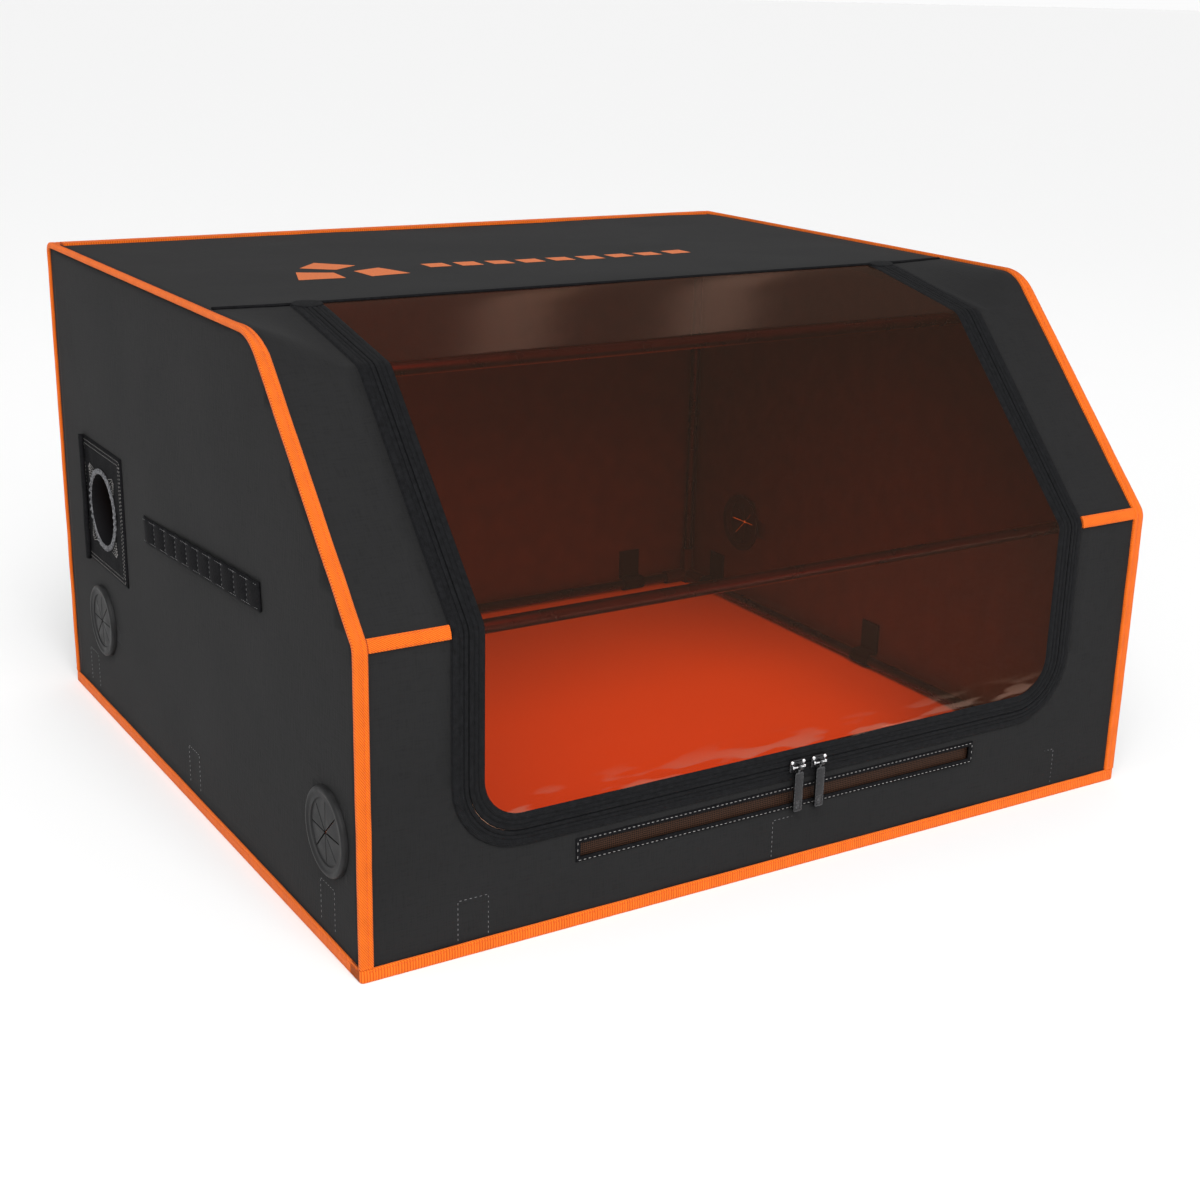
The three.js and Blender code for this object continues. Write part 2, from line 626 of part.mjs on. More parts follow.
// A pull: an eye round the slider's bridge, a short neck and a flat tab with a slot.
function pull() {
  const eyeIn = BAR_RADIUS + EYE_CLEARANCE;
  const eyeOut = eyeIn + EYE_WALL;
  const at = new THREE.Vector3(-PULL_THICKNESS / 2, BAR_Y, 0);
  const ring = [
    [eyeIn, 0],
    [eyeOut, 0],
    [eyeOut, PULL_THICKNESS],
    [eyeIn, PULL_THICKNESS],
  ];
  const eye = turned(ring, 16, at, X);
  const thick = [BAR_Y - PULL_THICKNESS / 2, BAR_Y + PULL_THICKNESS / 2];
  const tabTop = -2 * eyeOut;
  const embed = EYE_WALL / 2; // how far the neck runs into the eye and the tab
  const neck = block([-PULL_THICKNESS / 2, PULL_THICKNESS / 2], thick, [tabTop - embed, -eyeOut + embed]);
  const tab = chamfered([-PULL_WIDTH / 2, PULL_WIDTH / 2], [-PULL_LENGTH, tabTop], PULL_CHAMFER);
  const [slotWidth, slotLength] = PULL_SLOT;
  const slotEnd = -PULL_LENGTH + PULL_SLOT_TO_END;
  const slot = block([-slotWidth / 2, slotWidth / 2], EVERYWHERE, [slotEnd, slotEnd + slotLength]);
  return joined(eye, neck, through(tab, ...thick)).subtract(slot);
}

for (const [hand, side] of Object.entries(SIDES)) {
  const place = [SLIDER_MIDDLE_X + (side * (SLIDER_LENGTH + SLIDER_SPACE)) / 2, 0, ZIP_BOTTOM];
  add(`zip_slider_${hand}`, slider().translate(place), 'nickel');
  add(`zip_pull_${hand}`, pull().translate(place), 'pull');
}

// ---------------------------------------------------------------- air inlet

const slotBox = (grow) => [
  [-INLET_LENGTH / 2 - grow, INLET_LENGTH / 2 + grow],
  [INLET_Z - INLET_HEIGHT / 2 - grow, INLET_Z + INLET_HEIGHT / 2 + grow],
];
const inletLayer = (outer, inner, grow) => {
  const [x, z] = slotBox(grow);
  return block(x, [FRONT_Y + outer, FRONT_Y + inner], z);
};
const borderInner = CLOTH_OUT - GAP;
const borderFrame = inletLayer(borderInner - INLET_BORDER_THICKNESS, borderInner, INLET_BORDER);
add('inlet_border', borderFrame.subtract(inletSlot), 'webbing');
const meshOuter = CLOTH_IN + GAP;
add('inlet_mesh', inletLayer(meshOuter, meshOuter + MESH, INLET_LAP), 'mesh');

// ---------------------------------------------------------------- vent port

const LEFT_CLOTH_X = -HALF_WIDTH + CLOTH_OUT;
const patchX = [LEFT_CLOTH_X - GAP - VENT_PATCH_THICKNESS, LEFT_CLOTH_X - GAP];
const patch = block(
  patchX,
  [VENT_Y - VENT_PATCH_WIDTH / 2, VENT_Y + VENT_PATCH_WIDTH / 2],
  [VENT_Z - VENT_PATCH_HEIGHT / 2, VENT_Z + VENT_PATCH_HEIGHT / 2],
).subtract(sideHole(VENT_RADIUS + COLLAR_WALL + GAP, VENT_Y, VENT_Z, -1));
const roll = new THREE.CylinderGeometry(PORT_ROLL_RADIUS, PORT_ROLL_RADIUS, VENT_PATCH_HEIGHT, 12)
  .rotateX(Math.PI / 2)
  .translate(patchX[1] - PORT_ROLL_RADIUS, VENT_Y + VENT_PATCH_WIDTH / 2 - PORT_ROLL_RADIUS, VENT_Z);
add('vent_patch', patch.add(solid(roll)), 'webbing');

// The collar: a gathered sleeve through the wall with a lip over the patch.
const lipOut = VENT_RADIUS + COLLAR_WALL + COLLAR_LIP;
const sleeveOut = VENT_RADIUS + COLLAR_WALL;
const collarDepth = VENT_PATCH_THICKNESS + GAP + CLOTH + COLLAR_REACH;
const collar = [
  [VENT_RADIUS, -collarDepth],
  [sleeveOut, -collarDepth],
  [sleeveOut, GAP],
  [lipOut, GAP],
  [lipOut, GAP + COLLAR_WALL],
  [sleeveOut + GAP, COLLAR_STAND],
  [VENT_RADIUS, COLLAR_STAND],
];
const outwards = X.clone().negate();
add('vent_collar', turned(collar, 24, new THREE.Vector3(patchX[0], VENT_Y, VENT_Z), outwards), 'webbing');

// ---------------------------------------------------------------- webbing strap

// A flat strap sewn down across itself every few centimetres. Between the stitches it
// stands out in low loops.
function strapSection() {
  const pitch = STRAP_LENGTH / STRAP_LOOPS;
  const steps = 6;
  const points = [[-STRAP_LENGTH / 2, 0]];
  for (let loop = 0; loop < STRAP_LOOPS; loop++) {
    for (let i = 0; i <= steps; i++) {
      if (loop && !i) continue;
      const along = -STRAP_LENGTH / 2 + (loop + i / steps) * pitch;
      points.push([along, STRAP_THICKNESS + STRAP_LOOP * Math.sin((i / steps) * Math.PI) ** 2]);
    }
  }
  points.push([STRAP_LENGTH / 2, 0]);
  return points;
}
const strapBar = extrude(strapSection(), STRAP_HEIGHT)
  .translate(0, 0, -STRAP_HEIGHT / 2)
  .applyMatrix4(new THREE.Matrix4().makeBasis(Y.clone().negate(), X.clone().negate(), Z.clone().negate()))
  .rotateX((-STRAP_RISE * Math.PI) / 180)
  .translate(LEFT_CLOTH_X - GAP, STRAP_MIDDLE_Y, STRAP_MIDDLE_Z);
add('tie_strap', solid(strapBar), 'webbing');

// ---------------------------------------------------------------- cable grommets

// A rubber grommet snapped into a hole in the cloth: outer flange with a raised rim,
// neck, inner flange, and a thin membrane slit into petals for the cables.
function grommet() {
  const face = GAP; // the cloth's outer face is at 0, outwards positive
  const inner = -CLOTH - GAP;
  const rim = face + GROMMET_FLANGE + GROMMET_RIM;
  const profile = [
    [GROMMET_NECK, face],
    [GROMMET_RADIUS, face],
    [GROMMET_RADIUS, rim - GROMMET_CHAMFER],
    [GROMMET_RADIUS - GROMMET_CHAMFER, rim],
    [GROMMET_RADIUS - GROMMET_RIM_WIDTH, rim],
    [GROMMET_RADIUS - GROMMET_RIM_WIDTH - GROMMET_CHAMFER, face + GROMMET_FLANGE],
    [MEMBRANE_RADIUS, face + GROMMET_FLANGE],
    [MEMBRANE_RADIUS, face],
    [MEMBRANE_RADIUS, inner - GROMMET_FLANGE],
    [GROMMET_INNER_RADIUS, inner - GROMMET_FLANGE],
    [GROMMET_INNER_RADIUS, inner],
    [GROMMET_NECK, inner],
  ];
  const skinRadius = MEMBRANE_RADIUS + MEMBRANE; // run into the ring
  const skin = new THREE.CylinderGeometry(skinRadius, skinRadius, MEMBRANE, GROMMET_SIDES);
  const ring = turned(profile, GROMMET_SIDES, new THREE.Vector3(), Y);
  let body = ring.add(solid(skin.translate(0, face + MEMBRANE / 2, 0)));
  for (let i = 0; i < SLITS; i++) {
    const slit = new THREE.BoxGeometry(SLIT_LENGTH, 4 * MEMBRANE, SLIT_WIDTH)
      .translate(SLIT_LENGTH / 2, 0, 0)
      .rotateY(((i + 0.5) * 2 * Math.PI) / SLITS);
    body = body.subtract(solid(slit));
  }
  return body;
}

for (const [hand, side] of Object.entries(SIDES)) {
  for (const [end, y] of Object.entries({ front: GROMMET_FRONT_Y, rear: GROMMET_REAR_Y })) {
    const turn = new THREE.Matrix4()
      .makeRotationZ((-side * Math.PI) / 2)
      .setPosition(side * (HALF_WIDTH - CLOTH_OUT), y, GROMMET_Z);
    add(`cable_grommet_${end}_${hand}`, grommet().transform(turn.elements), 'rubber');
  }
}

export default tent;
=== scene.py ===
import math

import bmesh
import bpy
from mathutils import Matrix, Vector, noise
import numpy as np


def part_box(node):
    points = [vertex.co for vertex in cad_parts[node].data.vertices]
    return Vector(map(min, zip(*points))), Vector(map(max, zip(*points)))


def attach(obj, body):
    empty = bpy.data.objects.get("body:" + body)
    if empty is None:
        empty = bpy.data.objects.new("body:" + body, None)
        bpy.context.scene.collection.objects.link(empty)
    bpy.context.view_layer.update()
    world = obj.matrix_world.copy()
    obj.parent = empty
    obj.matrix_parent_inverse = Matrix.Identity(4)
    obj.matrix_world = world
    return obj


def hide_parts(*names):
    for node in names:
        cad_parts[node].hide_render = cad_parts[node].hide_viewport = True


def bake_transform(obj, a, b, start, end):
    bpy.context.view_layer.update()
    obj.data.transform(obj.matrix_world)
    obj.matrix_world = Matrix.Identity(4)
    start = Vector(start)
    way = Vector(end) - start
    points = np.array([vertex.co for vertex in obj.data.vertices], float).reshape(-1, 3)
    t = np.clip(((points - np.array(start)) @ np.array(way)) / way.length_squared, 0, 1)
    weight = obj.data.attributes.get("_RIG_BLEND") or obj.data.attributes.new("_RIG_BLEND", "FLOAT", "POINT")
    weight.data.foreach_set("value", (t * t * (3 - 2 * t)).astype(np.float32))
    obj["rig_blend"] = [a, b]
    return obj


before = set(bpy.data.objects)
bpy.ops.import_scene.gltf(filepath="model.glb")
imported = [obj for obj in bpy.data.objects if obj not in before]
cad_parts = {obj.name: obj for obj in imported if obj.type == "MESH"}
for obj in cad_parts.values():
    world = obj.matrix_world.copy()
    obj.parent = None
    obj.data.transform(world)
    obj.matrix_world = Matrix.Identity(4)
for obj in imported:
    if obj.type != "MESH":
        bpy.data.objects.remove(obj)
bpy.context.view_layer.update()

# ------------------------------------------------------------------ frame tubes
# Fifteen round steel tubes, 10 mm across, with a glossy black lacquer. They push
# into the sockets of the corner connectors and hold the cover out.

tube_radius = 0.005


def new_finish(name, roughness=0.5, metallic=0.0, specular=0.5, sheen=0.0, coat=0.0):
    finish = bpy.data.materials.new(name)
    finish.use_nodes = True
    surface = finish.node_tree.nodes["Principled BSDF"]
    surface.inputs["Roughness"].default_value = roughness
    surface.inputs["Metallic"].default_value = metallic
    surface.inputs["Specular IOR Level"].default_value = specular
    surface.inputs["Sheen Weight"].default_value = sheen
    surface.inputs["Coat Weight"].default_value = coat
    return finish, finish.node_tree.nodes, finish.node_tree.links, surface


def speckle(coordinates, size, detail=3.0, stretch=(1.0, 1.0, 1.0)):
    """A noise pattern with lumps of about this size in metres, drawn out by stretch."""
    tree = coordinates.id_data
    mapping = tree.nodes.new("ShaderNodeMapping")
    mapping.inputs["Scale"].default_value = [1.0 / s for s in stretch]
    tree.links.new(coordinates, mapping.inputs["Vector"])
    lumps = tree.nodes.new("ShaderNodeTexNoise")
    lumps.inputs["Scale"].default_value = 1.0 / size
    lumps.inputs["Detail"].default_value = detail
    tree.links.new(mapping.outputs["Vector"], lumps.inputs["Vector"])
    return lumps.outputs["Fac"]


def between(driver, low, high, start=0.3, end=0.7):
    """Two greys or colours, mixed by a pattern."""
    tree = driver.id_data
    ramp = tree.nodes.new("ShaderNodeValToRGB")
    for stop, place, shade in zip(ramp.color_ramp.elements, (start, end), (low, high)):
        stop.position = place
        stop.color = (*shade, 1.0) if isinstance(shade, tuple) else (shade, shade, shade, 1.0)
    tree.links.new(driver, ramp.inputs["Fac"])
    return ramp.outputs["Color"]


def raise_by(height, depth, below=None):
    """A bump of this depth in metres from a pattern, over another bump."""
    tree = height.id_data
    bump = tree.nodes.new("ShaderNodeBump")
    bump.inputs["Distance"].default_value = depth
    tree.links.new(height, bump.inputs["Height"])
    if below is not None:
        tree.links.new(below, bump.inputs["Normal"])
    return bump.outputs["Normal"]


lacquer, parts, wires, surface = new_finish("black_lacquer", specular=0.3, coat=0.12)
own = parts.new("ShaderNodeTexCoord").outputs["Object"]
worn = speckle(own, 0.02)
wires.new(between(worn, (0.004, 0.004, 0.004), (0.009, 0.0085, 0.0085)), surface.inputs["Base Color"])
wires.new(between(worn, 0.24, 0.36), surface.inputs["Roughness"])
surface.inputs["Coat Roughness"].default_value = 0.22


def finished(name, bm, finish, body="tent", smooth=True):
    """The bmesh as an object that rides on a body, or on none yet."""
    mesh = bpy.data.meshes.new(name)
    bm.to_mesh(mesh)
    bm.free()
    mesh.materials.append(finish)
    piece = bpy.data.objects.new(name, mesh)
    bpy.context.scene.collection.objects.link(piece)
    if smooth:
        mesh.shade_smooth()
    if body:
        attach(piece, body)
    return piece


def tube_ends(node):
    """The middles of a tube's two ends, from the box of its solid."""
    low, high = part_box(node)
    if high.x - low.x > 0.1:
        return low + Vector((0, tube_radius, tube_radius)), high - Vector((0, tube_radius, tube_radius))
    tilt = math.atan2(high.z - low.z, high.y - low.y)
    for _ in range(6):
        back, rise = tube_radius * math.sin(tilt), tube_radius * math.cos(tilt)
        tilt = math.atan2(high.z - low.z - 2 * rise, high.y - low.y - 2 * back)
    inset = Vector((tube_radius, back, rise))
    return low + inset, high - inset


tube_nodes = [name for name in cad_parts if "_tube_" in name or "upright_" in name]
for node in tube_nodes:
    start, end = tube_ends(node)
    run = end - start
    bm = bmesh.new()
    placed = Matrix.Translation((start + end) / 2) @ run.to_track_quat("Z", "Y").to_matrix().to_4x4()
    bmesh.ops.create_cone(
        bm, cap_ends=True, segments=28,
        radius1=tube_radius, radius2=tube_radius, depth=run.length, matrix=placed,
    )
    ends = [edge for edge in bm.edges if any(len(face.verts) > 4 for face in edge.link_faces)]
    bmesh.ops.bevel(bm, geom=ends, offset=0.0006, segments=2, affect="EDGES", profile=0.5, material=-1)
    tube = finished(f"{node}_lacquered", bm, lacquer)
    tube.data.set_sharp_from_angle(angle=math.radians(40))
    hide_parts(node)

# ------------------------------------------------------------------ corner connectors
# Moulded black plastic corners. Each has a socket for every tube that meets there.

moulded, parts, wires, surface = new_finish("moulded_plastic")
own = parts.new("ShaderNodeTexCoord").outputs["Object"]
grain = speckle(own, 0.0006, detail=2.0)
cloudy = speckle(own, 0.03)
wires.new(between(cloudy, (0.012, 0.012, 0.012), (0.02, 0.02, 0.021)), surface.inputs["Base Color"])
wires.new(between(cloudy, 0.42, 0.55), surface.inputs["Roughness"])
wires.new(raise_by(grain, 0.00008), surface.inputs["Normal"])
for name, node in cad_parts.items():
    if name.startswith("connector_"):
        for place in node.material_slots:
            place.material = moulded

# ------------------------------------------------------------------ cover
# One length of charcoal woven polyester, coated on the back. It runs up the front,
# over the slant and the roof and down the rear, with an opening for the window and a
# slot for the air. The two side pieces are cut from the same cloth.

half_width, half_depth = 0.350, 0.322
cover_height, sill_height, slant_run = 0.411, 0.237, 0.162
slant = math.atan2(cover_height - sill_height, slant_run)
cover_bends = [
    (-half_depth, sill_height, 0.014, math.pi / 2, slant),
    (-half_depth + slant_run, cover_height, 0.045, slant, 0.0),
    (half_depth, cover_height, 0.010, 0.0, -math.pi / 2),
]
seam_back = 0.257
cloth_sinks = 0.0023
cloth_thickness = 0.0009


def heading_of(angle):
    return Vector((math.cos(angle), math.sin(angle)))


def outward_of(angle):
    return Vector((-math.sin(angle), math.cos(angle)))


def cover_line():
    """The tent's side outline as legs: (distance from the floor in front, start, heading, radius)."""
    legs, gone, at = [], 0.0, Vector((-half_depth, 0.0))
    for y, z, radius, turn_from, turn_to in cover_bends:
        tangent = radius * math.tan((turn_from - turn_to) / 2)
        corner = Vector((y, z))
        straight = (corner - at).length - tangent
        legs.append((gone, at, turn_from, 0.0))
        gone, at = gone + straight, corner - tangent * heading_of(turn_from)
        legs.append((gone, at, turn_from, radius))
        gone, at = gone + radius * (turn_from - turn_to), corner + tangent * heading_of(turn_to)
    legs.append((gone, at, -math.pi / 2, 0.0))
    return legs


outline_legs = cover_line()
sill_start, slant_start = outline_legs[1][0], outline_legs[2][0]
crease_start, roof_start = outline_legs[3][0], outline_legs[4][0]
rear_bend_start, rear_start = outline_legs[5][0], outline_legs[6][0]
outline_length = rear_start + outline_legs[6][1].y
seam_line = roof_start + (-half_depth + seam_back) - outline_legs[4][1].x


tube_line = 0.034
tube_corner = Vector((-half_depth + slant_run, cover_height)) - tube_line * heading_of(slant)
tube_along = crease_start + 0.045 * math.tan(slant / 2) - tube_line


def taut(across, y, z):
    """Between the side edges the cloth and film pull straight from the seam to the low crease tube."""
    span = max(0.0, min(1.0, (0.338 - abs(across)) / 0.048))
    share = span * span * (3 - 2 * span)
    seam_y = seam_back - half_depth
    rise = (cover_height - tube_corner.y) / (seam_y - tube_corner.x)
    straight = tube_corner.y + (y - tube_corner.x) * rise
    near = max(0.0, 0.004 - abs(straight - z)) / 0.004
    return z + share * (min(straight, z) - near * near * 0.001 - z)


def outside_at(across, along):
    """Where the cover's outside runs, as (y, z)."""
    gone, at, turn, radius = [leg for leg in outline_legs if along >= leg[0] or leg is outline_legs[0]][-1]
    if radius:
        centre = at - radius * outward_of(turn)
        at = centre + radius * outward_of(turn - (along - gone) / radius)
    else:
        at = at + (along - gone) * heading_of(turn)
    if at.x < 0.0 and at.y > tube_corner.y - 0.02:
        return Vector((at.x, taut(across, *at)))
    return at


def on_cover(flat):
    """A point of the flat cut, (across, along, lift), where it lies on the standing tent."""
    across, along, lift = flat
    run = outside_at(across, along + 1e-4) - outside_at(across, along - 1e-4)
    y, z = outside_at(across, along) + lift * Vector((-run.y, run.x)).normalized()
    return Vector((across, y, z))


def stand_up(bm):
    for vert in bm.verts:
        vert.co = on_cover(vert.co)


def lines_between(start, end, step):
    count = max(1, round((end - start) / step))
    return [start + (end - start) * i / count for i in range(count + 1)]


def bend_lines(step):
    """Places along the cover where a mesh needs a line to follow its bends."""
    lines = []
    for (gone, _, _, radius), (end, _, _, _) in zip(outline_legs, outline_legs[1:]):
        lines += lines_between(gone, end, radius * 0.1 if radius else step)
    lines += [tube_along + 0.0012 * i for i in range(-6, 7)]
    return sorted(lines + lines_between(rear_start, outline_length, step))


def cut_flat(outer, holes, across_lines, along_lines):
    """A flat cut of cloth with holes, crossed by enough lines to bend and ripple."""
    bm = bmesh.new()
    for loop in (outer, *holes):
        verts = [bm.verts.new((x, y, 0.0)) for x, y in loop]
        for a, b in zip(verts, verts[1:] + verts[:1]):
            bm.edges.new((a, b))
    bmesh.ops.triangle_fill(bm, edges=bm.edges[:], use_beauty=True, use_dissolve=False)
    for axis, lines in ((Vector((1, 0, 0)), across_lines), (Vector((0, 1, 0)), along_lines)):
        for line in lines:
            everything = bm.verts[:] + bm.edges[:] + bm.faces[:]
            bmesh.ops.bisect_plane(bm, geom=everything, dist=1e-7, plane_co=axis * line, plane_no=axis)
    for face in bm.faces:
        if face.normal.z < 0:
            face.normal_flip()
    return bm


def chart(bm):
    """Lays the flat cut's own metres down as its map, for the weave to follow."""
    weave = bm.loops.layers.uv.new("weave")
    for face in bm.faces:
        for corner in face.loops:
            corner[weave].uv = corner.vert.co.xy


zip_half_width, zip_bottom, zip_radius = 0.269, 0.085, 0.042


def window_line(grow, top):
    """The window's outline on the flat cover, this far outside the line of the teeth."""
    half, bottom, radius = zip_half_width + grow, zip_bottom - grow, zip_radius + grow
    points = []
    for side in (-1, 1):
        turns = [i / 12 * math.pi / 2 for i in range(13)]
        for turn in turns if side < 0 else reversed(turns):
            points.append(
                (side * (half - radius + radius * math.cos(turn)), bottom + radius - radius * math.sin(turn))
            )
    return [(-half, top), *points, (half, top)]


def rectangle(left, right, low, high):
    return [(left, low), (right, low), (right, high), (left, high)]


inlet_low, inlet_high = 0.0525, 0.0645
inlet_half = 0.1815
cloth_low = 0.0018


def darkened(colour, pattern):
    """A colour, made darker where the pattern is dark."""
    tree = colour.id_data
    product = tree.nodes.new("ShaderNodeMix")
    product.data_type = "RGBA"
    product.blend_type = "MULTIPLY"
    product.inputs["Factor"].default_value = 1.0
    tree.links.new(colour, product.inputs["A"])
    tree.links.new(pattern, product.inputs["B"])
    return product.outputs["Result"]


def weave_map(parts):
    """The flat chart of a cut piece, in metres."""
    flat = parts.new("ShaderNodeUVMap")
    flat.uv_map = "weave"
    return flat


charcoal, parts, wires, surface = new_finish("charcoal_cloth", roughness=0.78, specular=0.06, sheen=0.025)
flat_map = weave_map(parts)
own = flat_map.outputs["UV"]
weft = speckle(own, 0.0011, detail=2.0, stretch=(14.0, 1.0, 1.0))
warp = speckle(own, 0.0011, detail=2.0, stretch=(1.0, 14.0, 1.0))
threads = parts.new("ShaderNodeMath")
threads.operation = "ADD"
wires.new(weft, threads.inputs[0])
wires.new(warp, threads.inputs[1])
dust = speckle(own, 0.12, detail=4.0)
shade = between(threads.outputs[0], (0.0115, 0.0115, 0.0118), (0.0165, 0.0165, 0.0169), 0.55, 1.0)
wires.new(darkened(shade, between(dust, 0.88, 1.0, 0.35, 0.65)), surface.inputs["Base Color"])
wires.new(between(dust, 0.72, 0.84), surface.inputs["Roughness"])
wires.new(raise_by(threads.outputs[0], 0.00018), surface.inputs["Normal"])
surface.inputs["Sheen Roughness"].default_value = 0.45

coated_back, parts, wires, surface = new_finish("coated_back", roughness=0.5)
flat_map = weave_map(parts)
creased = speckle(flat_map.outputs["UV"], 0.02, detail=5.0)
wires.new(between(creased, (0.042, 0.041, 0.04), (0.062, 0.06, 0.058)), surface.inputs["Base Color"])
wires.new(raise_by(creased, 0.0008), surface.inputs["Normal"])


def slack(point, size=0.11, deep=0.0012):
    """A soft unevenness of hanging cloth."""
    return deep * noise.noise(point / size) + 0.3 * deep * noise.noise(point / (0.35 * size))


def give_thickness(piece, thickness, back=None):
    wall = piece.modifiers.new("cloth thickness", "SOLIDIFY")
    wall.thickness = thickness
    wall.offset = -1.0
    if back:
        piece.data.materials.append(back)
        wall.material_offset = 1


def flat_area(bm):
    return sum(face.calc_area() for face in bm.faces)


cloth_side = half_width - 0.0026
bm = cut_flat(
    rectangle(-cloth_side, cloth_side, cloth_low, outline_length - cloth_low),
    [window_line(0.008, seam_line), rectangle(-inlet_half, inlet_half, inlet_low, inlet_high)],
    lines_between(-0.336, 0.336, 0.021),
    [line for line in bend_lines(0.014) if cloth_low < line < outline_length - cloth_low],
)
chart(bm)
cover_area = flat_area(bm)
for vert in bm.verts:
    x, along, _ = vert.co
    to_edge = min(half_width - abs(x), abs(along - seam_line) + 0.008, 0.05) / 0.05
    by_window = abs(x) < zip_half_width + 0.03 and zip_bottom - 0.03 < along < seam_line + 0.02
    vert.co.z = -cloth_sinks + slack(vert.co) * to_edge * (0.15 if by_window else 1.0)
stand_up(bm)
cover = finished("cover_front_and_roof", bm, charcoal)
give_thickness(cover, cloth_thickness, coated_back)
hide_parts("front_panel", "slant_panel_left", "slant_panel_right", "roof_panel", "rear_panel")

# ------------------------------------------------------------------ side pieces
# The two sides of the cover. The left one has the duct hole. Both have two holes for
# the rubber grommets, which cover the cloth's cut edges.

grommet_places = {}
for end in ("front", "rear"):
    low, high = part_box(f"cable_grommet_{end}_left")
    grommet_places[end] = ((low.y + high.y) / 2, (low.z + high.z) / 2)
low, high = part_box("vent_collar")
vent_y, vent_z = (low.y + high.y) / 2, (low.z + high.z) / 2


def ring_line(y, z, radius, count=40):
    return [
        (y + radius * math.cos(2 * math.pi * i / count), z + radius * math.sin(2 * math.pi * i / count))
        for i in range(count)
    ]


def side_line():
    """The outline of a side, just inside the edge bindings, as (y, z) points."""
    return [tuple(on_cover((half_width, along, -0.0025)).yz) for along in bend_lines(0.5) + [outline_length]]


for hand, side in (("left", -1), ("right", 1)):
    edge = []
    for y, z in side_line():
        if not edge or (Vector(edge[-1]) - Vector((y, z))).length > 1e-5:
            edge.append((y, max(z, cloth_low)))
    holes = [ring_line(y, z, 0.0255) for y, z in grommet_places.values()]
    if hand == "left":
        holes.append(ring_line(vent_y, vent_z, 0.0335))
    bm = cut_flat(edge, holes, lines_between(-0.308, 0.308, 0.022), lines_between(0.02, 0.40, 0.02))
    chart(bm)
    side_area = flat_area(bm)
    for vert in bm.verts:
        y, z, _ = vert.co
        hem = min(half_depth - abs(y), cover_height - z, z + 0.01, 0.05) / 0.05
        near = min(
            (Vector((y, z)) - Vector(place)).length for place in (*grommet_places.values(), (vent_y, vent_z))
        )
        calm = max(0.0, min(1.0, (near - 0.07) / 0.05)) if hand == "left" or near < 0.06 else 1.0
        sag = slack(Vector((y + side, z, 3.0 * side)), deep=0.0016) * max(hem, 0.0) * calm
        vert.co = Vector((side * (half_width - cloth_sinks + sag), y, z))
    if side < 0:
        bmesh.ops.reverse_faces(bm, faces=bm.faces[:])
    piece = finished(f"cover_side_{hand}", bm, charcoal)
    give_thickness(piece, cloth_thickness, coated_back)
    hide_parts(f"side_panel_{hand}")

# ------------------------------------------------------------------ webbing loops
# Twelve loops of black webbing, sewn inside the hem. The bottom tubes run through
# them. Two rows of thread show outside where each loop is sewn.


def ridges(coordinates, axis, scale, wobble, detail=2.0, detail_scale=1.0):
    """Woven ribs: a wave pattern across one axis."""
    tree = coordinates.id_data
    wave = tree.nodes.new("ShaderNodeTexWave")
    wave.bands_direction = axis
    wave.inputs["Scale"].default_value = scale
    wave.inputs["Distortion"].default_value = wobble
    wave.inputs["Detail"].default_value = detail
    wave.inputs["Detail Scale"].default_value = detail_scale
    tree.links.new(coordinates, wave.inputs["Vector"])
    return wave.outputs["Fac"]


webbing, parts, wires, surface = new_finish("black_webbing", roughness=0.75, specular=0.05)
flat_map = weave_map(parts)
ribs = ridges(flat_map.outputs["UV"], "Y", 320.0, 0.6, detail=1.0)
fuzz = speckle(flat_map.outputs["UV"], 0.002)
wires.new(between(fuzz, (0.004, 0.004, 0.0045), (0.009, 0.009, 0.0102)), surface.inputs["Base Color"])
wires.new(raise_by(ribs, 0.0002), surface.inputs["Normal"])


def thread(name, low, high):
    finish, parts, wires, surface = new_finish(name, roughness=0.6)
    own = parts.new("ShaderNodeTexCoord").outputs["Object"]
    twist = speckle(own, 0.0008)
    wires.new(between(twist, low, high), surface.inputs["Base Color"])
    return finish


thread_grey = thread("grey_thread", (0.11, 0.11, 0.113), (0.2, 0.2, 0.205))

loop_width, loop_top = 0.025, 0.044
low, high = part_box("floor_tube_left")
bottom_tube_z = (low.z + high.z) / 2
frame_inset = half_width + (low.x + high.x) / 2


def run_along(bm, section, stations, closed=False):
    """Draws a closed section along stations, which are matrices whose X is across, Y
    along and Z up. Each vertex keeps how far along and across the run it lies."""
    gone = bm.verts.layers.float.get("along") or bm.verts.layers.float.new("along")
    over = bm.verts.layers.float.get("across") or bm.verts.layers.float.new("across")
    verts = []
    for across, up in section:
        vert = bm.verts.new(stations[0] @ Vector((across, 0.0, up)))
        vert[over] = across
        verts.append(vert)
    ring = [bm.edges.new((a, b)) for a, b in zip(verts, verts[1:] + verts[:1])]
    first, distance = ring, 0.0
    for before, after in zip(stations, stations[1:]):
        distance += (after.translation - before.translation).length
        grown = bmesh.ops.extrude_edge_only(bm, edges=ring)["geom"]
        new = [part for part in grown if isinstance(part, bmesh.types.BMVert)]
        ring = [
            part
            for part in grown
            if isinstance(part, bmesh.types.BMEdge) and all(vert in new for vert in part.verts)
        ]
        bmesh.ops.transform(bm, matrix=after @ before.inverted(), verts=new)
        for vert in new:
            vert[gone] = distance
    if closed:
        bmesh.ops.remove_doubles(bm, verts=bm.verts[:], dist=1e-6)
    else:
        bmesh.ops.edgeloop_fill(bm, edges=first)
        bmesh.ops.edgeloop_fill(bm, edges=ring)
    bmesh.ops.recalc_face_normals(bm, faces=bm.faces[:])


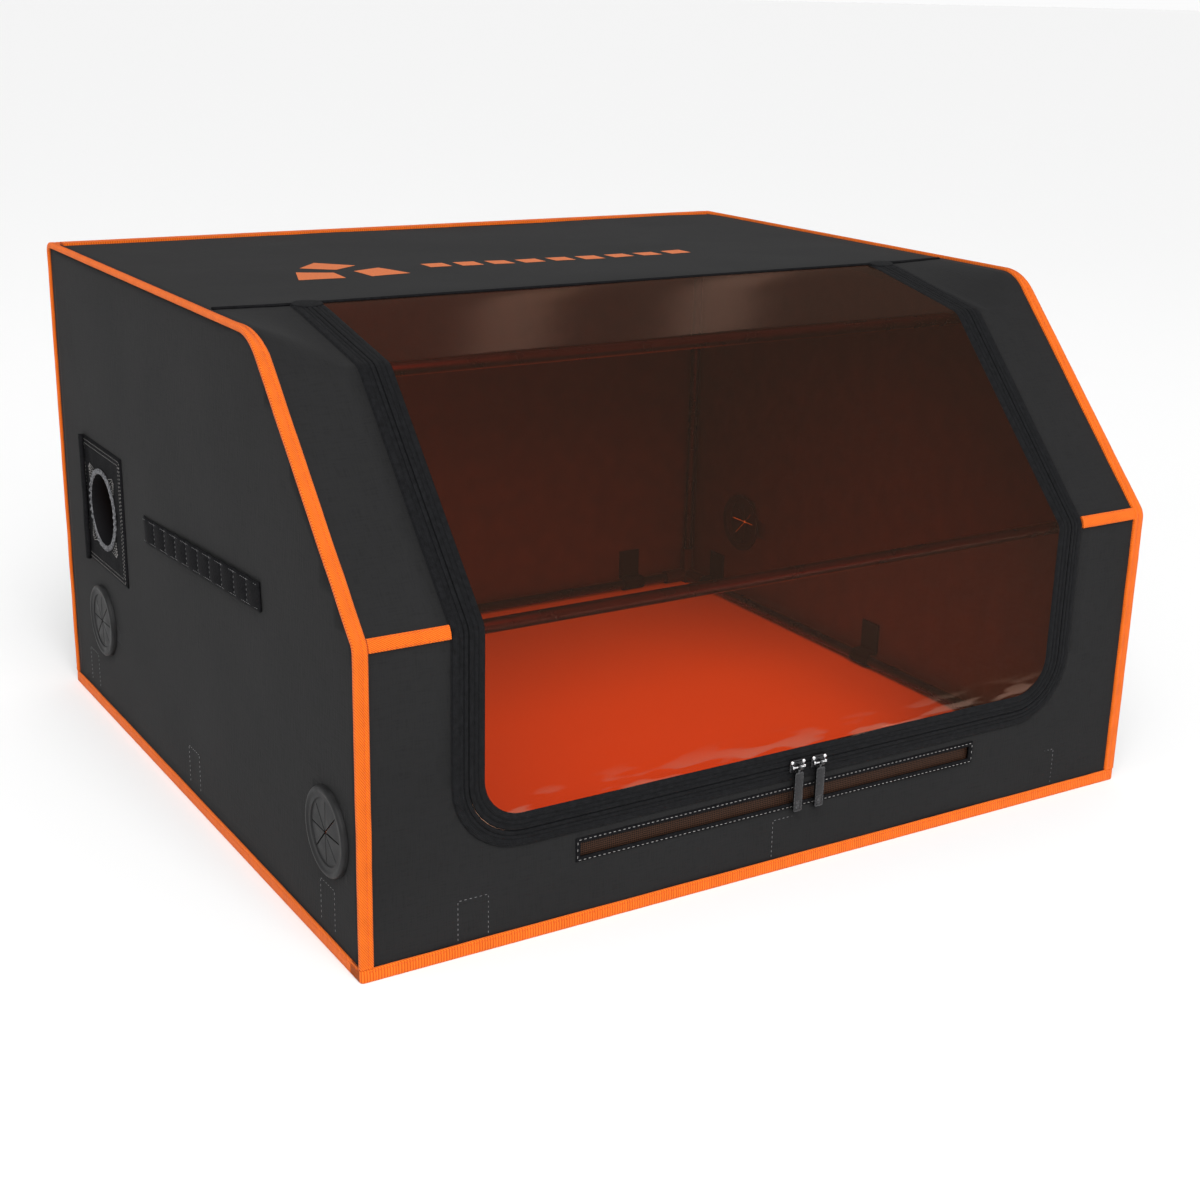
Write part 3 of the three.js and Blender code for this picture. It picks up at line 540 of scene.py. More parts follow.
def chart_run(bm):
    """Lays down the run's map: along it, and across it."""
    gone, over = bm.verts.layers.float["along"], bm.verts.layers.float["across"]
    weave = bm.loops.layers.uv.new("weave")
    for face in bm.faces:
        for corner in face.loops:
            corner[weave].uv = (corner.vert[gone], corner.vert[over])


def station(at, across, along):
    """A place on a run, from its point and the directions across and along it."""
    up = across.cross(along)
    turn = Matrix((across, along, up)).transposed().to_4x4()
    return Matrix.Translation(at) @ turn


def walls():
    """Each wall's name, the matrix that stands a flat cut on it, and its half length."""
    return {
        "front": (station(Vector((0, -half_depth, 0)), Vector((1, 0, 0)), Vector((0, 0, 1))), half_width),
        "rear": (station(Vector((0, half_depth, 0)), Vector((-1, 0, 0)), Vector((0, 0, 1))), half_width),
        "left": (station(Vector((-half_width, 0, 0)), Vector((0, -1, 0)), Vector((0, 0, 1))), half_depth),
        "right": (station(Vector((half_width, 0, 0)), Vector((0, 1, 0)), Vector((0, 0, 1))), half_depth),
    }


def add_stitches(bm, points, pitch=0.0032, long=0.0021, thick=0.00045, lift=0.0):
    """A row of raised stitches along a flat line."""
    for (x0, y0), (x1, y1) in zip(points, points[1:]):
        run = Vector((x1 - x0, y1 - y0, 0.0))
        count = max(1, int(run.length / pitch))
        turn = run.to_track_quat("X", "Z").to_matrix().to_4x4()
        for i in range(count):
            at = Vector((x0, y0, lift)) + run * ((i + 0.5) / count)
            shape = Matrix.Diagonal((long / 2, thick / 2, thick / 2.4, 1.0))
            bmesh.ops.create_icosphere(
                bm, subdivisions=1, radius=1.0, matrix=Matrix.Translation(at) @ turn @ shape
            )


loop_margins = {"front": 0.085, "rear": 0.085, "left": 0.058, "right": 0.058}
web = 0.0011
for wall, (place, half) in walls().items():
    bm = bmesh.new()
    rows = bmesh.new()
    for middle in (-half + loop_margins[wall], 0.0, half - loop_margins[wall]):
        hollow = tube_radius + 0.0006
        inside = [(0.0033, loop_top), (0.0033, bottom_tube_z + hollow)]
        round_tube = [
            (frame_inset + hollow * math.sin(turn), bottom_tube_z + hollow * math.cos(turn))
            for turn in [i / 12 * math.pi for i in range(13)]
        ]
        line = inside + round_tube + [(0.0033, bottom_tube_z - hollow)]
        section = line[:]
        for depth, up in reversed(line):
            away = Vector((depth - frame_inset, up - bottom_tube_z))
            if depth > frame_inset - 0.001:
                away = away.normalized() * web
                section.append((depth + away.x, up + away.y))
            elif up > bottom_tube_z:
                section.append((depth + web, max(up, bottom_tube_z + hollow + web)))
            else:
                section.append((depth, up - web))
        stations = [
            place
            @ station(Vector((middle + shift, 0.0, 0.0)), Vector((0, 0, -1)), Vector((-1, 0, 0)))
            for shift in (loop_width / 2, -loop_width / 2)
        ]
        run_along(bm, section, stations)
        left, right = middle - loop_width / 2 + 0.0008, middle + loop_width / 2 - 0.0008
        if wall in ("front", "rear"):
            points = [(left, 0.011), (left, loop_top - 0.002), (right, loop_top - 0.002), (right, 0.011)]
        else:
            points = [(left, 0.016), (left, loop_top + 0.004), (right, loop_top + 0.004), (right, 0.016)]
        add_stitches(rows, points, pitch=0.0036, long=0.0023, thick=0.0005, lift=-cloth_sinks)
    chart_run(bm)
    finished(f"webbing_loops_{wall}", bm, webbing, smooth=False)
    rows.transform(place)
    finished(f"loop_stitches_{wall}", rows, thread_grey)

# ------------------------------------------------------------------ edge bindings
# Orange twill tape, folded over the edges where the sides meet the rest, and sewn
# through near its inner edge.

twill, parts, wires, surface = new_finish("orange_twill", roughness=0.72, specular=0.1, sheen=0.05)
flat_map = weave_map(parts)
diagonal = parts.new("ShaderNodeMapping")
diagonal.inputs["Rotation"].default_value = (0.0, 0.0, math.radians(55))
wires.new(flat_map.outputs["UV"], diagonal.inputs["Vector"])
twills = ridges(diagonal.outputs["Vector"], "X", 260.0, 1.2, detail=2.0, detail_scale=1.5)
bleached = speckle(flat_map.outputs["UV"], 0.015, detail=4.0)
bright = between(twills, (0.6, 0.085, 0.003), (0.84, 0.17, 0.014), 0.15, 0.6)
wires.new(darkened(bright, between(bleached, 0.86, 1.0)), surface.inputs["Base Color"])
wires.new(raise_by(twills, 0.00035), surface.inputs["Normal"])

thread_orange = thread("orange_thread", (0.5, 0.05, 0.002), (0.7, 0.09, 0.004))

binding_start = 0.0103
binding_stations = [line for line in bend_lines(0.012) if line > binding_start]
binding_stations = [binding_start] + [
    b for a, b in zip([0.0] + binding_stations, binding_stations)
    if b - a > 1e-6 and b < outline_length - binding_start
] + [outline_length - binding_start]
edge_section = [
    (-0.0100, -0.0026), (-0.0100, -0.0012), (-0.0095, -0.0004), (-0.0085, 0.0), (-0.0068, -0.0001),
    (-0.0060, -0.0005), (-0.0052, -0.0001), (-0.0022, 0.0), (-0.0008, -0.0002), (-0.0001, -0.0010),
    (0.0, -0.0024), (-0.0001, -0.0040), (-0.0006, -0.0049), (-0.0016, -0.0050), (-0.0023, -0.0046),
    (-0.0023, -0.0026),
]


def tape_share(along):
    """The tape slips over the edge along the roof, so that less of it lies on top."""
    on_roof = min((along - crease_start) / 0.045, (rear_bend_start - along) / 0.02)
    return 1.0 - 0.58 * max(0.0, min(1.0, on_roof))


bindings = []
for hand, side in (("left", -1), ("right", 1)):
    bm = bmesh.new()
    stations = [
        station(Vector((side * half_width, along, 0.0)), Vector((side, 0, 0)), Vector((0, side, 0)))
        for along in binding_stations
    ]
    run_along(bm, edge_section, stations)
    chart_run(bm)
    for vert in bm.verts:
        inwards = half_width - abs(vert.co.x)
        vert.co.x = side * (half_width - inwards * (tape_share(vert.co.y) if inwards > 0.0024 else 1.0))
        vert.co.x += 0.0003 * noise.noise(Vector((0.0, vert.co.y / 0.03, side)))
    stand_up(bm)
    tape = finished(f"edge_tape_{hand}", bm, twill)
    tape.data.set_sharp_from_angle(angle=math.radians(60))
    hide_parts(f"edge_binding_{hand}")
    rows = bmesh.new()
    line = side * (half_width - 0.0060)
    add_stitches(
        rows, [(line, binding_start + 0.002), (line, outline_length - binding_start - 0.002)], lift=-0.0003
    )
    for vert in rows.verts:
        vert.co.x = side * (half_width - (half_width - abs(vert.co.x)) * tape_share(vert.co.y))
    stand_up(rows)
    row = finished(f"edge_tape_stitches_{hand}", rows, thread_orange)
    bindings += [tape, row]

# ------------------------------------------------------------------ sill tapes and roof binding
# The same orange tape, laid across the front where the slant starts, on both sides of
# the window, and along the rear edge of the roof.


def cross_tape(name, left, right, low, high, node, rows_at):
    bm = bmesh.new()
    steps = 14
    top = [
        (low + (high - low) * i / steps, -0.0003 if i in (0, steps) else 0.0) for i in range(steps + 1)
    ]
    under = [(along, -0.0024) for along, _ in reversed(top)]
    stations = [
        station(
            Vector((x, 0.0, 0.0)), Vector((0, 1, 0)), Vector((-1, 0, 0))
        ) for x in lines_between(right, left, 0.012)
    ]
    run_along(bm, top + under, stations)
    chart_run(bm)
    stand_up(bm)
    tape = finished(name, bm, twill)
    tape.data.set_sharp_from_angle(angle=math.radians(60))
    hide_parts(node)
    rows = bmesh.new()
    for along in rows_at:
        add_stitches(rows, [(left + 0.001, along), (right - 0.001, along)], lift=0.0001)
    stand_up(rows)
    return [tape, finished(f"{name}_stitches", rows, thread_orange)]


for hand, side in (("left", -1), ("right", 1)):
    ends = sorted((side * 0.2819, side * 0.3399))
    bindings += cross_tape(
        f"sill_strip_{hand}", *ends, 0.2320, 0.2420, f"sill_tape_{hand}", (0.2332, 0.2408)
    )
roof_tape_low, roof_tape_high = rear_bend_start - 0.010, rear_start + 0.005
bindings += cross_tape(
    "roof_rear_tape", -0.3399, 0.3399, roof_tape_low, roof_tape_high, "roof_rear_binding",
    (roof_tape_low + 0.0014, roof_tape_high - 0.0014),
)

# ------------------------------------------------------------------ hem
# The same tape folded round the bottom edge of the cover, all the way round. The tent
# stands on it.

corner_round = 0.003
hem_section = [
    (0.0, 0.0012), (-0.0004, 0.0003), (-0.0014, 0.0), (-0.0040, 0.0), (-0.0043, 0.0006),
    (-0.0040, 0.0015), (-0.0022, 0.0018), (-0.0021, 0.0096), (-0.0014, 0.0100), (-0.0005, 0.0098),
    (0.0, 0.0088), (-0.0002, 0.0078), (0.0, 0.0068),
]


def round_the_base(step):
    """Stations round the tent's footprint, with X outwards and Z up."""
    stations = []
    corners = [(-1, -1, 180, 270), (1, -1, 270, 360), (1, 1, 0, 90), (-1, 1, 90, 180)]
    points = []
    for sx, sy, start, end in corners:
        centre = Vector((sx * (half_width - corner_round), sy * (half_depth - corner_round), 0))
        for i in range(7):
            turn = math.radians(start + (end - start) * i / 6)
            out = Vector((math.cos(turn), math.sin(turn), 0))
            points.append((centre + out * corner_round, out))
    points.append(points[0])
    for (at, out), (next_at, next_out) in zip(points, points[1:]):
        count = max(1, round((next_at - at).length / step))
        for i in range(count):
            share = i / count
            stations.append((at.lerp(next_at, share), out.lerp(next_out, share).normalized()))
    stations.append(stations[0])
    up = Vector((0, 0, 1))
    return [station(at, out, up.cross(out)) for at, out in stations]


bm = bmesh.new()
run_along(bm, hem_section, round_the_base(0.014), closed=True)
chart_run(bm)
for vert in bm.verts:
    if vert.co.z > 0.002:
        vert.co.z += 0.0005 * noise.noise(vert.co / 0.05)
hem = finished("hem_tape", bm, twill)
hem.data.set_sharp_from_angle(angle=math.radians(60))
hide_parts("hem_binding")
rows = bmesh.new()
for wall, (place, half) in walls().items():
    row = bmesh.new()
    add_stitches(row, [(-half + 0.006, 0.0079), (half - 0.006, 0.0079)], lift=0.0)
    row.transform(place)
    sewn = bpy.data.meshes.new("row")
    row.to_mesh(sewn)
    row.free()
    rows.from_mesh(sewn)
bindings += [hem, finished("hem_stitches", rows, thread_orange)]

# ------------------------------------------------------------------ roof seam
# A folded seam across the roof, where the window's film is sewn in between the two
# layers. A row of black thread runs behind it.

bm = bmesh.new()
seam_section = [
    (-0.0016, -0.0024), (-0.0014, -0.0012), (-0.0006, -0.0006), (0.0006, -0.0006), (0.0014, -0.0012),
    (0.0016, -0.0024)
]
stations = [
    station(Vector((x, seam_line + 0.0016, 0.0)), Vector((0, 1, 0)), Vector((-1, 0, 0)))
    for x in [0.3395 - 0.679 * i / 56 for i in range(57)]
]
run_along(bm, seam_section, stations)
chart_run(bm)
stand_up(bm)
finished("roof_seam", bm, webbing)
rows = bmesh.new()
add_stitches(rows, [(-0.339, seam_line + 0.0065), (0.339, seam_line + 0.0065)], lift=-0.0022)
stand_up(rows)
finished("roof_seam_stitches", rows, webbing)

# ------------------------------------------------------------------ window zip
# A long coil zip round the window, in ribbed dark grey tape. Its outer half is sewn
# to the cover and its inner half to the film, and the inner half folds with the film.

zip_tape, parts, wires, surface = new_finish("zip_tape", roughness=0.7, specular=0.1, sheen=0.008)
flat_map = weave_map(parts)
cords = ridges(flat_map.outputs["UV"], "Y", 260.0, 0.4)
picks = ridges(flat_map.outputs["UV"], "X", 330.0, 1.5)
lint = speckle(flat_map.outputs["UV"], 0.004, detail=4.0)
wires.new(between(lint, (0.0035, 0.0036, 0.0042), (0.008, 0.0083, 0.0095)), surface.inputs["Base Color"])
grooves = raise_by(cords, 0.00022)
wires.new(raise_by(picks, 0.0002, grooves), surface.inputs["Normal"])

outer_tape = [
    (0.00015, -0.0021), (0.00015, -0.0012), (0.0009, -0.0005), (0.0022, -0.0004),
    (0.0032, -0.0009), (0.0036, -0.0014), (0.0041, -0.0009), (0.0052, -0.0007), (0.0062, -0.0008),
    (0.0066, -0.0013), (0.0071, -0.0008), (0.0095, -0.0006), (0.0112, -0.0007), (0.0120, -0.0011),
    (0.0126, -0.0022), (0.0110, -0.0023),
]
inner_tape = [
    (-0.00015, -0.0021), (-0.00015, -0.0012), (-0.0009, -0.0005), (-0.0024, -0.0004),
    (-0.0036, -0.0008), (-0.0040, -0.0014), (-0.0045, -0.0009), (-0.0058, -0.0007),
    (-0.0070, -0.0009), (-0.0074, -0.0014), (-0.0079, -0.0010), (-0.0096, -0.0009),
    (-0.0110, -0.0012), (-0.0122, -0.0017), (-0.0126, -0.0021), (-0.0124, -0.0025),
]
film_parting = (slant_start + crease_start) / 2


def zip_stations(top, step=0.010):
    """Stations down the left of the window, round its lower corners and up the right."""
    turns = lines_between(0.0, math.pi / 2, math.pi / 2 / 9)
    low = zip_bottom + zip_radius
    down = sorted({round(a, 6) for a in bend_lines(step) if low < a < top} | {low, top}, reverse=True)
    walk = [(Vector((-zip_half_width, a, 0.0)), math.pi) for a in down]
    centre = zip_half_width - zip_radius
    walk += [
        (Vector((-centre, low, 0.0)) + zip_radius * Vector((-math.cos(t), -math.sin(t), 0.0)), math.pi + t)
        for t in turns[1:]
    ]
    walk += [(Vector((x, zip_bottom, 0.0)), -math.pi / 2) for x in lines_between(-centre, centre, step)[1:]]
    walk += [
        (Vector((centre, low, 0.0)) + zip_radius * Vector((math.sin(t), -math.cos(t), 0.0)), t - math.pi / 2)
        for t in turns[1:]
    ]
    walk += [(Vector((zip_half_width, a, 0.0)), 0.0) for a in reversed(down[:-1])]
    stations = []
    for at, turn in walk:
        out = Vector((math.cos(turn), math.sin(turn), 0.0))
        stations.append(station(at, out, Vector((0, 0, 1)).cross(out)))
    return stations


def zip_piece(name, section, runs, body=None):
    bm = bmesh.new()
    for stations in runs:
        part = bmesh.new()
        run_along(part, section, stations)
        chart_run(part)
        strip = bpy.data.meshes.new("strip")
        part.to_mesh(strip)
        part.free()
        bm.from_mesh(strip)
    stand_up(bm)
    strip = finished(name, bm, zip_tape, body)
    strip.data.set_sharp_from_angle(angle=math.radians(70))
    return strip


def leg_stations(side, low, high):
    lines = sorted({low, high} | {round(a, 6) for a in bend_lines(0.010) if low < a < high}, reverse=side < 0)
    return [
        station(
            Vector((side * zip_half_width, a, 0.0)), Vector((side, 0, 0)), Vector((0, side, 0))
        ) for a in lines
    ]


outer_zip = zip_piece("zip_outer_tape", outer_tape, [zip_stations(seam_line - 0.0005)], "tent")
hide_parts("zip_outer_half")
window_top = seam_line - 0.001
upper_zip = zip_piece(
    "zip_inner_tape_upper", inner_tape,
    [leg_stations(side, film_parting, window_top) for side in (-1, 1)],
)
lower_zip = zip_piece("zip_inner_tape_lower", inner_tape, [zip_stations(film_parting)])

# Where the zip's outer tape ends at the roof seam, each end is tucked under a small
# bound tab.

bm = bmesh.new()
for side in (-1, 1):
    tab = bmesh.new()
    bmesh.ops.create_cone(
        tab, cap_ends=True, segments=24, radius1=0.0125, radius2=0.0118, depth=0.0012,
        matrix=Matrix.Translation(
            (side * zip_half_width, seam_line - 0.003, -0.0006)
        ) @ Matrix.Diagonal((1.0, 0.7, 1.0, 1.0)),
    )
    rim = [edge for edge in tab.edges if any(len(face.verts) > 4 for face in edge.link_faces)]
    bmesh.ops.bevel(tab, geom=rim, offset=0.0004, segments=2, affect="EDGES", profile=0.5, material=-1)
    spare = bpy.data.meshes.new("tab")
    tab.to_mesh(spare)
    tab.free()
    bm.from_mesh(spare)
chart(bm)
stand_up(bm)
tabs = finished("zip_end_tabs", bm, zip_tape)
tabs.data.set_sharp_from_angle(angle=math.radians(50))

# ------------------------------------------------------------------ window film
# One sheet of glossy amber film, sewn to the inner half of the zip. It hangs slack
# along its bottom edge, where it ripples. It folds at the crease and at the sill.

amber, parts, wires, surface = new_finish("amber_film", roughness=0.06)
parts.remove(surface)
output = parts["Material Output"]
tint = parts.new("ShaderNodeBsdfTransparent")
tint.inputs["Color"].default_value = (0.92, 0.098, 0.004, 1.0)
lamp_tint = parts.new("ShaderNodeBsdfTransparent")
lamp_tint.inputs["Color"].default_value = (0.9, 0.62, 0.42, 1.0)
path = parts.new("ShaderNodeLightPath")
through = parts.new("ShaderNodeMixShader")
wires.new(path.outputs["Is Shadow Ray"], through.inputs["Fac"])
wires.new(tint.outputs[0], through.inputs[1])
wires.new(lamp_tint.outputs[0], through.inputs[2])
haze = parts.new("ShaderNodeBsdfDiffuse")
haze.inputs["Color"].default_value = (0.25, 0.155, 0.11, 1.0)
clouded = parts.new("ShaderNodeMixShader")
clouded.inputs["Fac"].default_value = 0.045
wires.new(through.outputs[0], clouded.inputs[1])
wires.new(haze.outputs[0], clouded.inputs[2])
gloss = parts.new("ShaderNodeBsdfGlossy")
gloss.inputs["Roughness"].default_value = 0.17
gloss.inputs["Color"].default_value = (0.38, 0.225, 0.165, 1.0)
shine = parts.new("ShaderNodeFresnel")
shine.inputs["IOR"].default_value = 1.25
own = parts.new("ShaderNodeTexCoord").outputs["Object"]
ripple = speckle(own, 0.045, detail=2.0)
handled = raise_by(ripple, 0.0002)
wires.new(handled, gloss.inputs["Normal"])
wires.new(handled, shine.inputs["Normal"])
flat_map = weave_map(parts)
place = parts.new("ShaderNodeSeparateXYZ")
wires.new(flat_map.outputs["UV"], place.inputs["Vector"])
scuffs = speckle(flat_map.outputs["UV"], 0.011, detail=1.5, stretch=(5.0, 1.0, 1.0))
creased_low = parts.new("ShaderNodeMath")
creased_low.operation = "MULTIPLY"
wires.new(between(place.outputs["Y"], 0.26, 0.0, 0.101, 0.117), creased_low.inputs[0])
wires.new(between(scuffs, 0.0, 1.0, 0.5, 0.56), creased_low.inputs[1])
shone = parts.new("ShaderNodeMath")
shone.operation = "ADD"
wires.new(shine.outputs["Fac"], shone.inputs[0])
wires.new(creased_low.outputs[0], shone.inputs[1])
glazed = parts.new("ShaderNodeMixShader")
wires.new(shone.outputs[0], glazed.inputs["Fac"])
wires.new(clouded.outputs[0], glazed.inputs[1])
wires.new(gloss.outputs[0], glazed.inputs[2])
wires.new(glazed.outputs[0], output.inputs["Surface"])

film_sinks = 0.0019
film_half = zip_half_width - 0.010


def film_ripples(x, along):
    """Slack film stands in slanting ripples above its bottom edge."""
    slackness = math.exp(-max(along - 0.094, 0.0) / 0.016) * min(1.0, max(0.0, (film_half - abs(x)) / 0.02))
    slope = Vector((x / 0.045 + along / 0.03, along / 0.020, 0.7))
    edge = min(1.0, max(0.0, (along - 0.096) / 0.006))
    soft = 0.0004 * noise.noise(Vector((x / 0.16, along / 0.12, 4.0)))
    return edge * slackness * (0.0034 * noise.noise(slope) - 0.0006) + soft * min(
        1.0, abs(along - film_parting) / 0.03
    )


def film_piece(name, bm, *stands_for):
    chart(bm)
    area = flat_area(bm)
    size = [max(v.co[i] for v in bm.verts) - min(v.co[i] for v in bm.verts) for i in (0, 1)]
    for vert in bm.verts:
        vert.co.z = -film_sinks + film_ripples(vert.co.x, vert.co.y)
    stand_up(bm)
    film = finished(name, bm, amber, None)
    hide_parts(*stands_for)
    return film, area, size


upper_lines = [a for a in bend_lines(0.014) if film_parting < a < window_top]
bm = cut_flat(
    rectangle(
        -film_half, film_half, film_parting, window_top
    ), [], lines_between(-0.252, 0.252, 0.021), upper_lines
)
upper_film, upper_area, upper_size = film_piece(
    "window_film_upper", bm, "window_film_roof", "window_film_slant"
)
lower_lines = lines_between(0.0955, 0.150, 0.0028) + [
    a for a in bend_lines(0.014) if 0.155 < a < film_parting
]
bm = cut_flat(
    list(window_line(-0.010, film_parting)), [], lines_between(-0.255, 0.255, 0.005), lower_lines
)
lower_film, lower_area, lower_size = film_piece(
    "window_film_lower", bm, "window_film_front"
)
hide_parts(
    "zip_inner_roof_left", "zip_inner_roof_right", "zip_inner_slant_left", "zip_inner_slant_right"
)
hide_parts("zip_inner_front")
crease_fold = (on_cover((0.0, roof_start + 0.004, 0.0)), on_cover((0.0, crease_start - 0.004, 0.0)))
sill_fold = (on_cover((0.0, slant_start + 0.010, 0.0)), on_cover((0.0, sill_start - 0.010, 0.0)))
for piece in (upper_film, upper_zip):
    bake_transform(piece, "window_roof", "window_slant", start=crease_fold[0], end=crease_fold[1])
for piece in (lower_film, lower_zip):
    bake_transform(piece, "window_slant", "window_front", start=sill_fold[0], end=sill_fold[1])

# ------------------------------------------------------------------ zip sliders
# Two sliders that meet at the middle of the bottom run. Each is a black enamelled cast body
# with two nickel knobs on top, two nickel lugs and a nickel bridge that the pull hangs on.

nickel, parts, wires, surface = new_finish("nickel_plate", roughness=0.16, metallic=1.0)
own = parts.new("ShaderNodeTexCoord").outputs["Object"]
rubbed = speckle(own, 0.0015, detail=4.0)
wires.new(between(rubbed, (0.62, 0.62, 0.64), (0.86, 0.86, 0.87)), surface.inputs["Base Color"])
wires.new(between(rubbed, 0.1, 0.28), surface.inputs["Roughness"])

gunmetal, parts, wires, surface = new_finish("gunmetal_plate", roughness=0.3, metallic=1.0)
own = parts.new("ShaderNodeTexCoord").outputs["Object"]
handled_metal = speckle(own, 0.0012, detail=4.0)
wires.new(between(handled_metal, (0.035, 0.035, 0.037), (0.11, 0.11, 0.115)), surface.inputs["Base Color"])

enamel, parts, wires, surface = new_finish("black_enamel", roughness=0.2, specular=0.3, coat=0.15)
own = parts.new("ShaderNodeTexCoord").outputs["Object"]
chips = speckle(own, 0.0012, detail=5.0)
wires.new(between(chips, (0.004, 0.004, 0.005), (0.016, 0.016, 0.018)), surface.inputs["Base Color"])
wires.new(between(chips, 0.12, 0.3), surface.inputs["Roughness"])
surface.inputs["Coat Roughness"].default_value = 0.15


def soft_block(bm, size, at, rounding, segments=3):
    """A block with rounded edges."""
    placed = Matrix.Translation(at) @ Matrix.Diagonal((*size, 1.0))
    made = bmesh.ops.create_cube(bm, size=1.0, matrix=placed)["verts"]
    edges = list({edge for vert in made for edge in vert.link_edges})
    bmesh.ops.bevel(
        bm, geom=edges, offset=rounding, segments=segments, affect="EDGES", profile=0.5, material=-1
    )


def ring_bar(bm, at, ring_radius, bar_radius, start=0.0, turn=2 * math.pi, steps=28):
    """A round bar bent into a ring, or part of one, in the Y and Z plane."""
    made = bmesh.ops.create_circle(
        bm, segments=10, radius=bar_radius,
        matrix=Matrix.Translation(
            at + Vector((0, ring_radius * math.cos(start), ring_radius * math.sin(start)))
        )
        @ Matrix.Rotation(start, 4, "X"),
    )["verts"]
    edges = list({edge for vert in made for edge in vert.link_edges})
    whole = abs(turn - 2 * math.pi) < 1e-6
    bmesh.ops.spin(
        bm, geom=made + edges, cent=at, axis=(1, 0, 0), angle=turn, steps=steps,
        use_merge=whole, use_duplicate=False,
    )


bar_radius = 0.0008
for hand in ("left", "right"):
    low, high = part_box(f"zip_slider_{hand}")
    middle = (low + high) / 2
    bar_y = low.y + bar_radius
    zip_face = -half_depth + 0.0004
    bm = bmesh.new()
    soft_block(bm, (0.013, 0.0016, 0.0096), Vector((middle.x, zip_face - 0.0013, middle.z)), 0.0006)
    soft_block(bm, (0.008, 0.0012, 0.0072), Vector((middle.x, zip_face - 0.0024, middle.z)), 0.0005)
    soft_block(bm, (0.013, 0.0014, 0.0096), Vector((middle.x, high.y - 0.0008, middle.z)), 0.0005)
    neck_middle = Vector((middle.x, (high.y + zip_face) / 2 - 0.0005, middle.z))
    soft_block(bm, (0.005, high.y - zip_face + 0.0006, 0.0007), neck_middle, 0.0002, 1)
    body = finished(f"slider_body_{hand}", bm, enamel, f"slider_{hand}")
    body.data.set_sharp_from_angle(angle=math.radians(50))
    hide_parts(f"zip_slider_{hand}")
    bm = bmesh.new()
    for lug in (-1, 1):
        soft_block(
            bm, (0.0019, zip_face - bar_y - 0.0004, 0.0024),
            Vector((middle.x + lug * 0.005, (bar_y + zip_face) / 2 - 0.0006, middle.z)), 0.0006,
        )
    bmesh.ops.create_cone(
        bm, cap_ends=True, segments=18, radius1=bar_radius, radius2=bar_radius, depth=0.0104,
        matrix=Matrix.Translation(
            (middle.x, bar_y + 0.0001, middle.z)
        ) @ Matrix.Rotation(math.pi / 2, 4, "Y"),
    )
    for lug in (-1, 1):
        bmesh.ops.create_uvsphere(
            bm, u_segments=16, v_segments=10, radius=0.0017,
            matrix=Matrix.Translation((middle.x + lug * 0.0052, zip_face - 0.0025, middle.z + 0.0034)),
        )
    bridge = finished(f"slider_bridge_{hand}", bm, nickel, f"slider_{hand}")
    bridge.data.set_sharp_from_angle(angle=math.radians(50))

    # The pull: a nickel eye round the bridge, and a black enamelled tab with a nickel
    # rim and a slot near its end.
    low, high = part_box(f"zip_pull_{hand}")
    eye = Vector((middle.x, middle.y, middle.z))
    eye.y = (low.y + high.y) / 2
    bm = bmesh.new()
    ring_bar(bm, eye, 0.0017, 0.0006)
    tab_top, tab_low = high.z - 0.0062, low.z
    soft_block(bm, (0.0022, 0.0013, 0.0046), Vector((eye.x, eye.y, eye.z - 0.0042)), 0.0004)
    rim = bmesh.ops.create_grid(bm, x_segments=1, y_segments=1, size=0.5)["verts"]
    tab_height = tab_top - tab_low
    stand = Matrix.Translation(
        (eye.x, eye.y + 0.0009, (tab_top + tab_low) / 2)
    ) @ Matrix.Rotation(math.pi / 2, 4, "X")
    bmesh.ops.transform(bm, matrix=stand @ Matrix.Diagonal((0.0078, tab_height, 1.0, 1.0)), verts=rim)
    bmesh.ops.bevel(bm, geom=rim, offset=0.0018, segments=4, affect="VERTICES", profile=0.5, material=-1)
    tab_face = max((face for face in bm.faces if len(face.verts) > 8), key=lambda face: face.calc_area())
    grown = bmesh.ops.extrude_face_region(bm, geom=[tab_face])["geom"]
    bmesh.ops.translate(
        bm, vec=(0, -0.0018, 0), verts=[part for part in grown if isinstance(part, bmesh.types.BMVert)]
    )
    bmesh.ops.recalc_face_normals(bm, faces=bm.faces[:])
    tab = finished(f"pull_rim_{hand}", bm, gunmetal, f"pull_{hand}")
    tab.data.set_sharp_from_angle(angle=math.radians(40))
    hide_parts(f"zip_pull_{hand}")
    bm = bmesh.new()
    soft_block(
        bm, (0.0071, 0.0021, tab_height - 0.0095), Vector((eye.x, eye.y, (tab_top + tab_low) / 2 + 0.0036)),
        0.0006
    )
    soft_block(bm, (0.0066, 0.0021, 0.0020), Vector((eye.x, eye.y, tab_low + 0.0016)), 0.0005)
    for edge_side in (-1, 1):
        soft_block(
            bm, (0.0022, 0.0021, 0.0070), Vector((eye.x + edge_side * 0.0024, eye.y, tab_low + 0.0048)),
            0.0005
        )
    skin = finished(f"pull_enamel_{hand}", bm, enamel, f"pull_{hand}")
    skin.data.set_sharp_from_angle(angle=math.radians(50))

# ------------------------------------------------------------------ air inlet
# A long slot in the front with a narrow bound edge, sewn with pale thread, and brown
# mesh behind it.

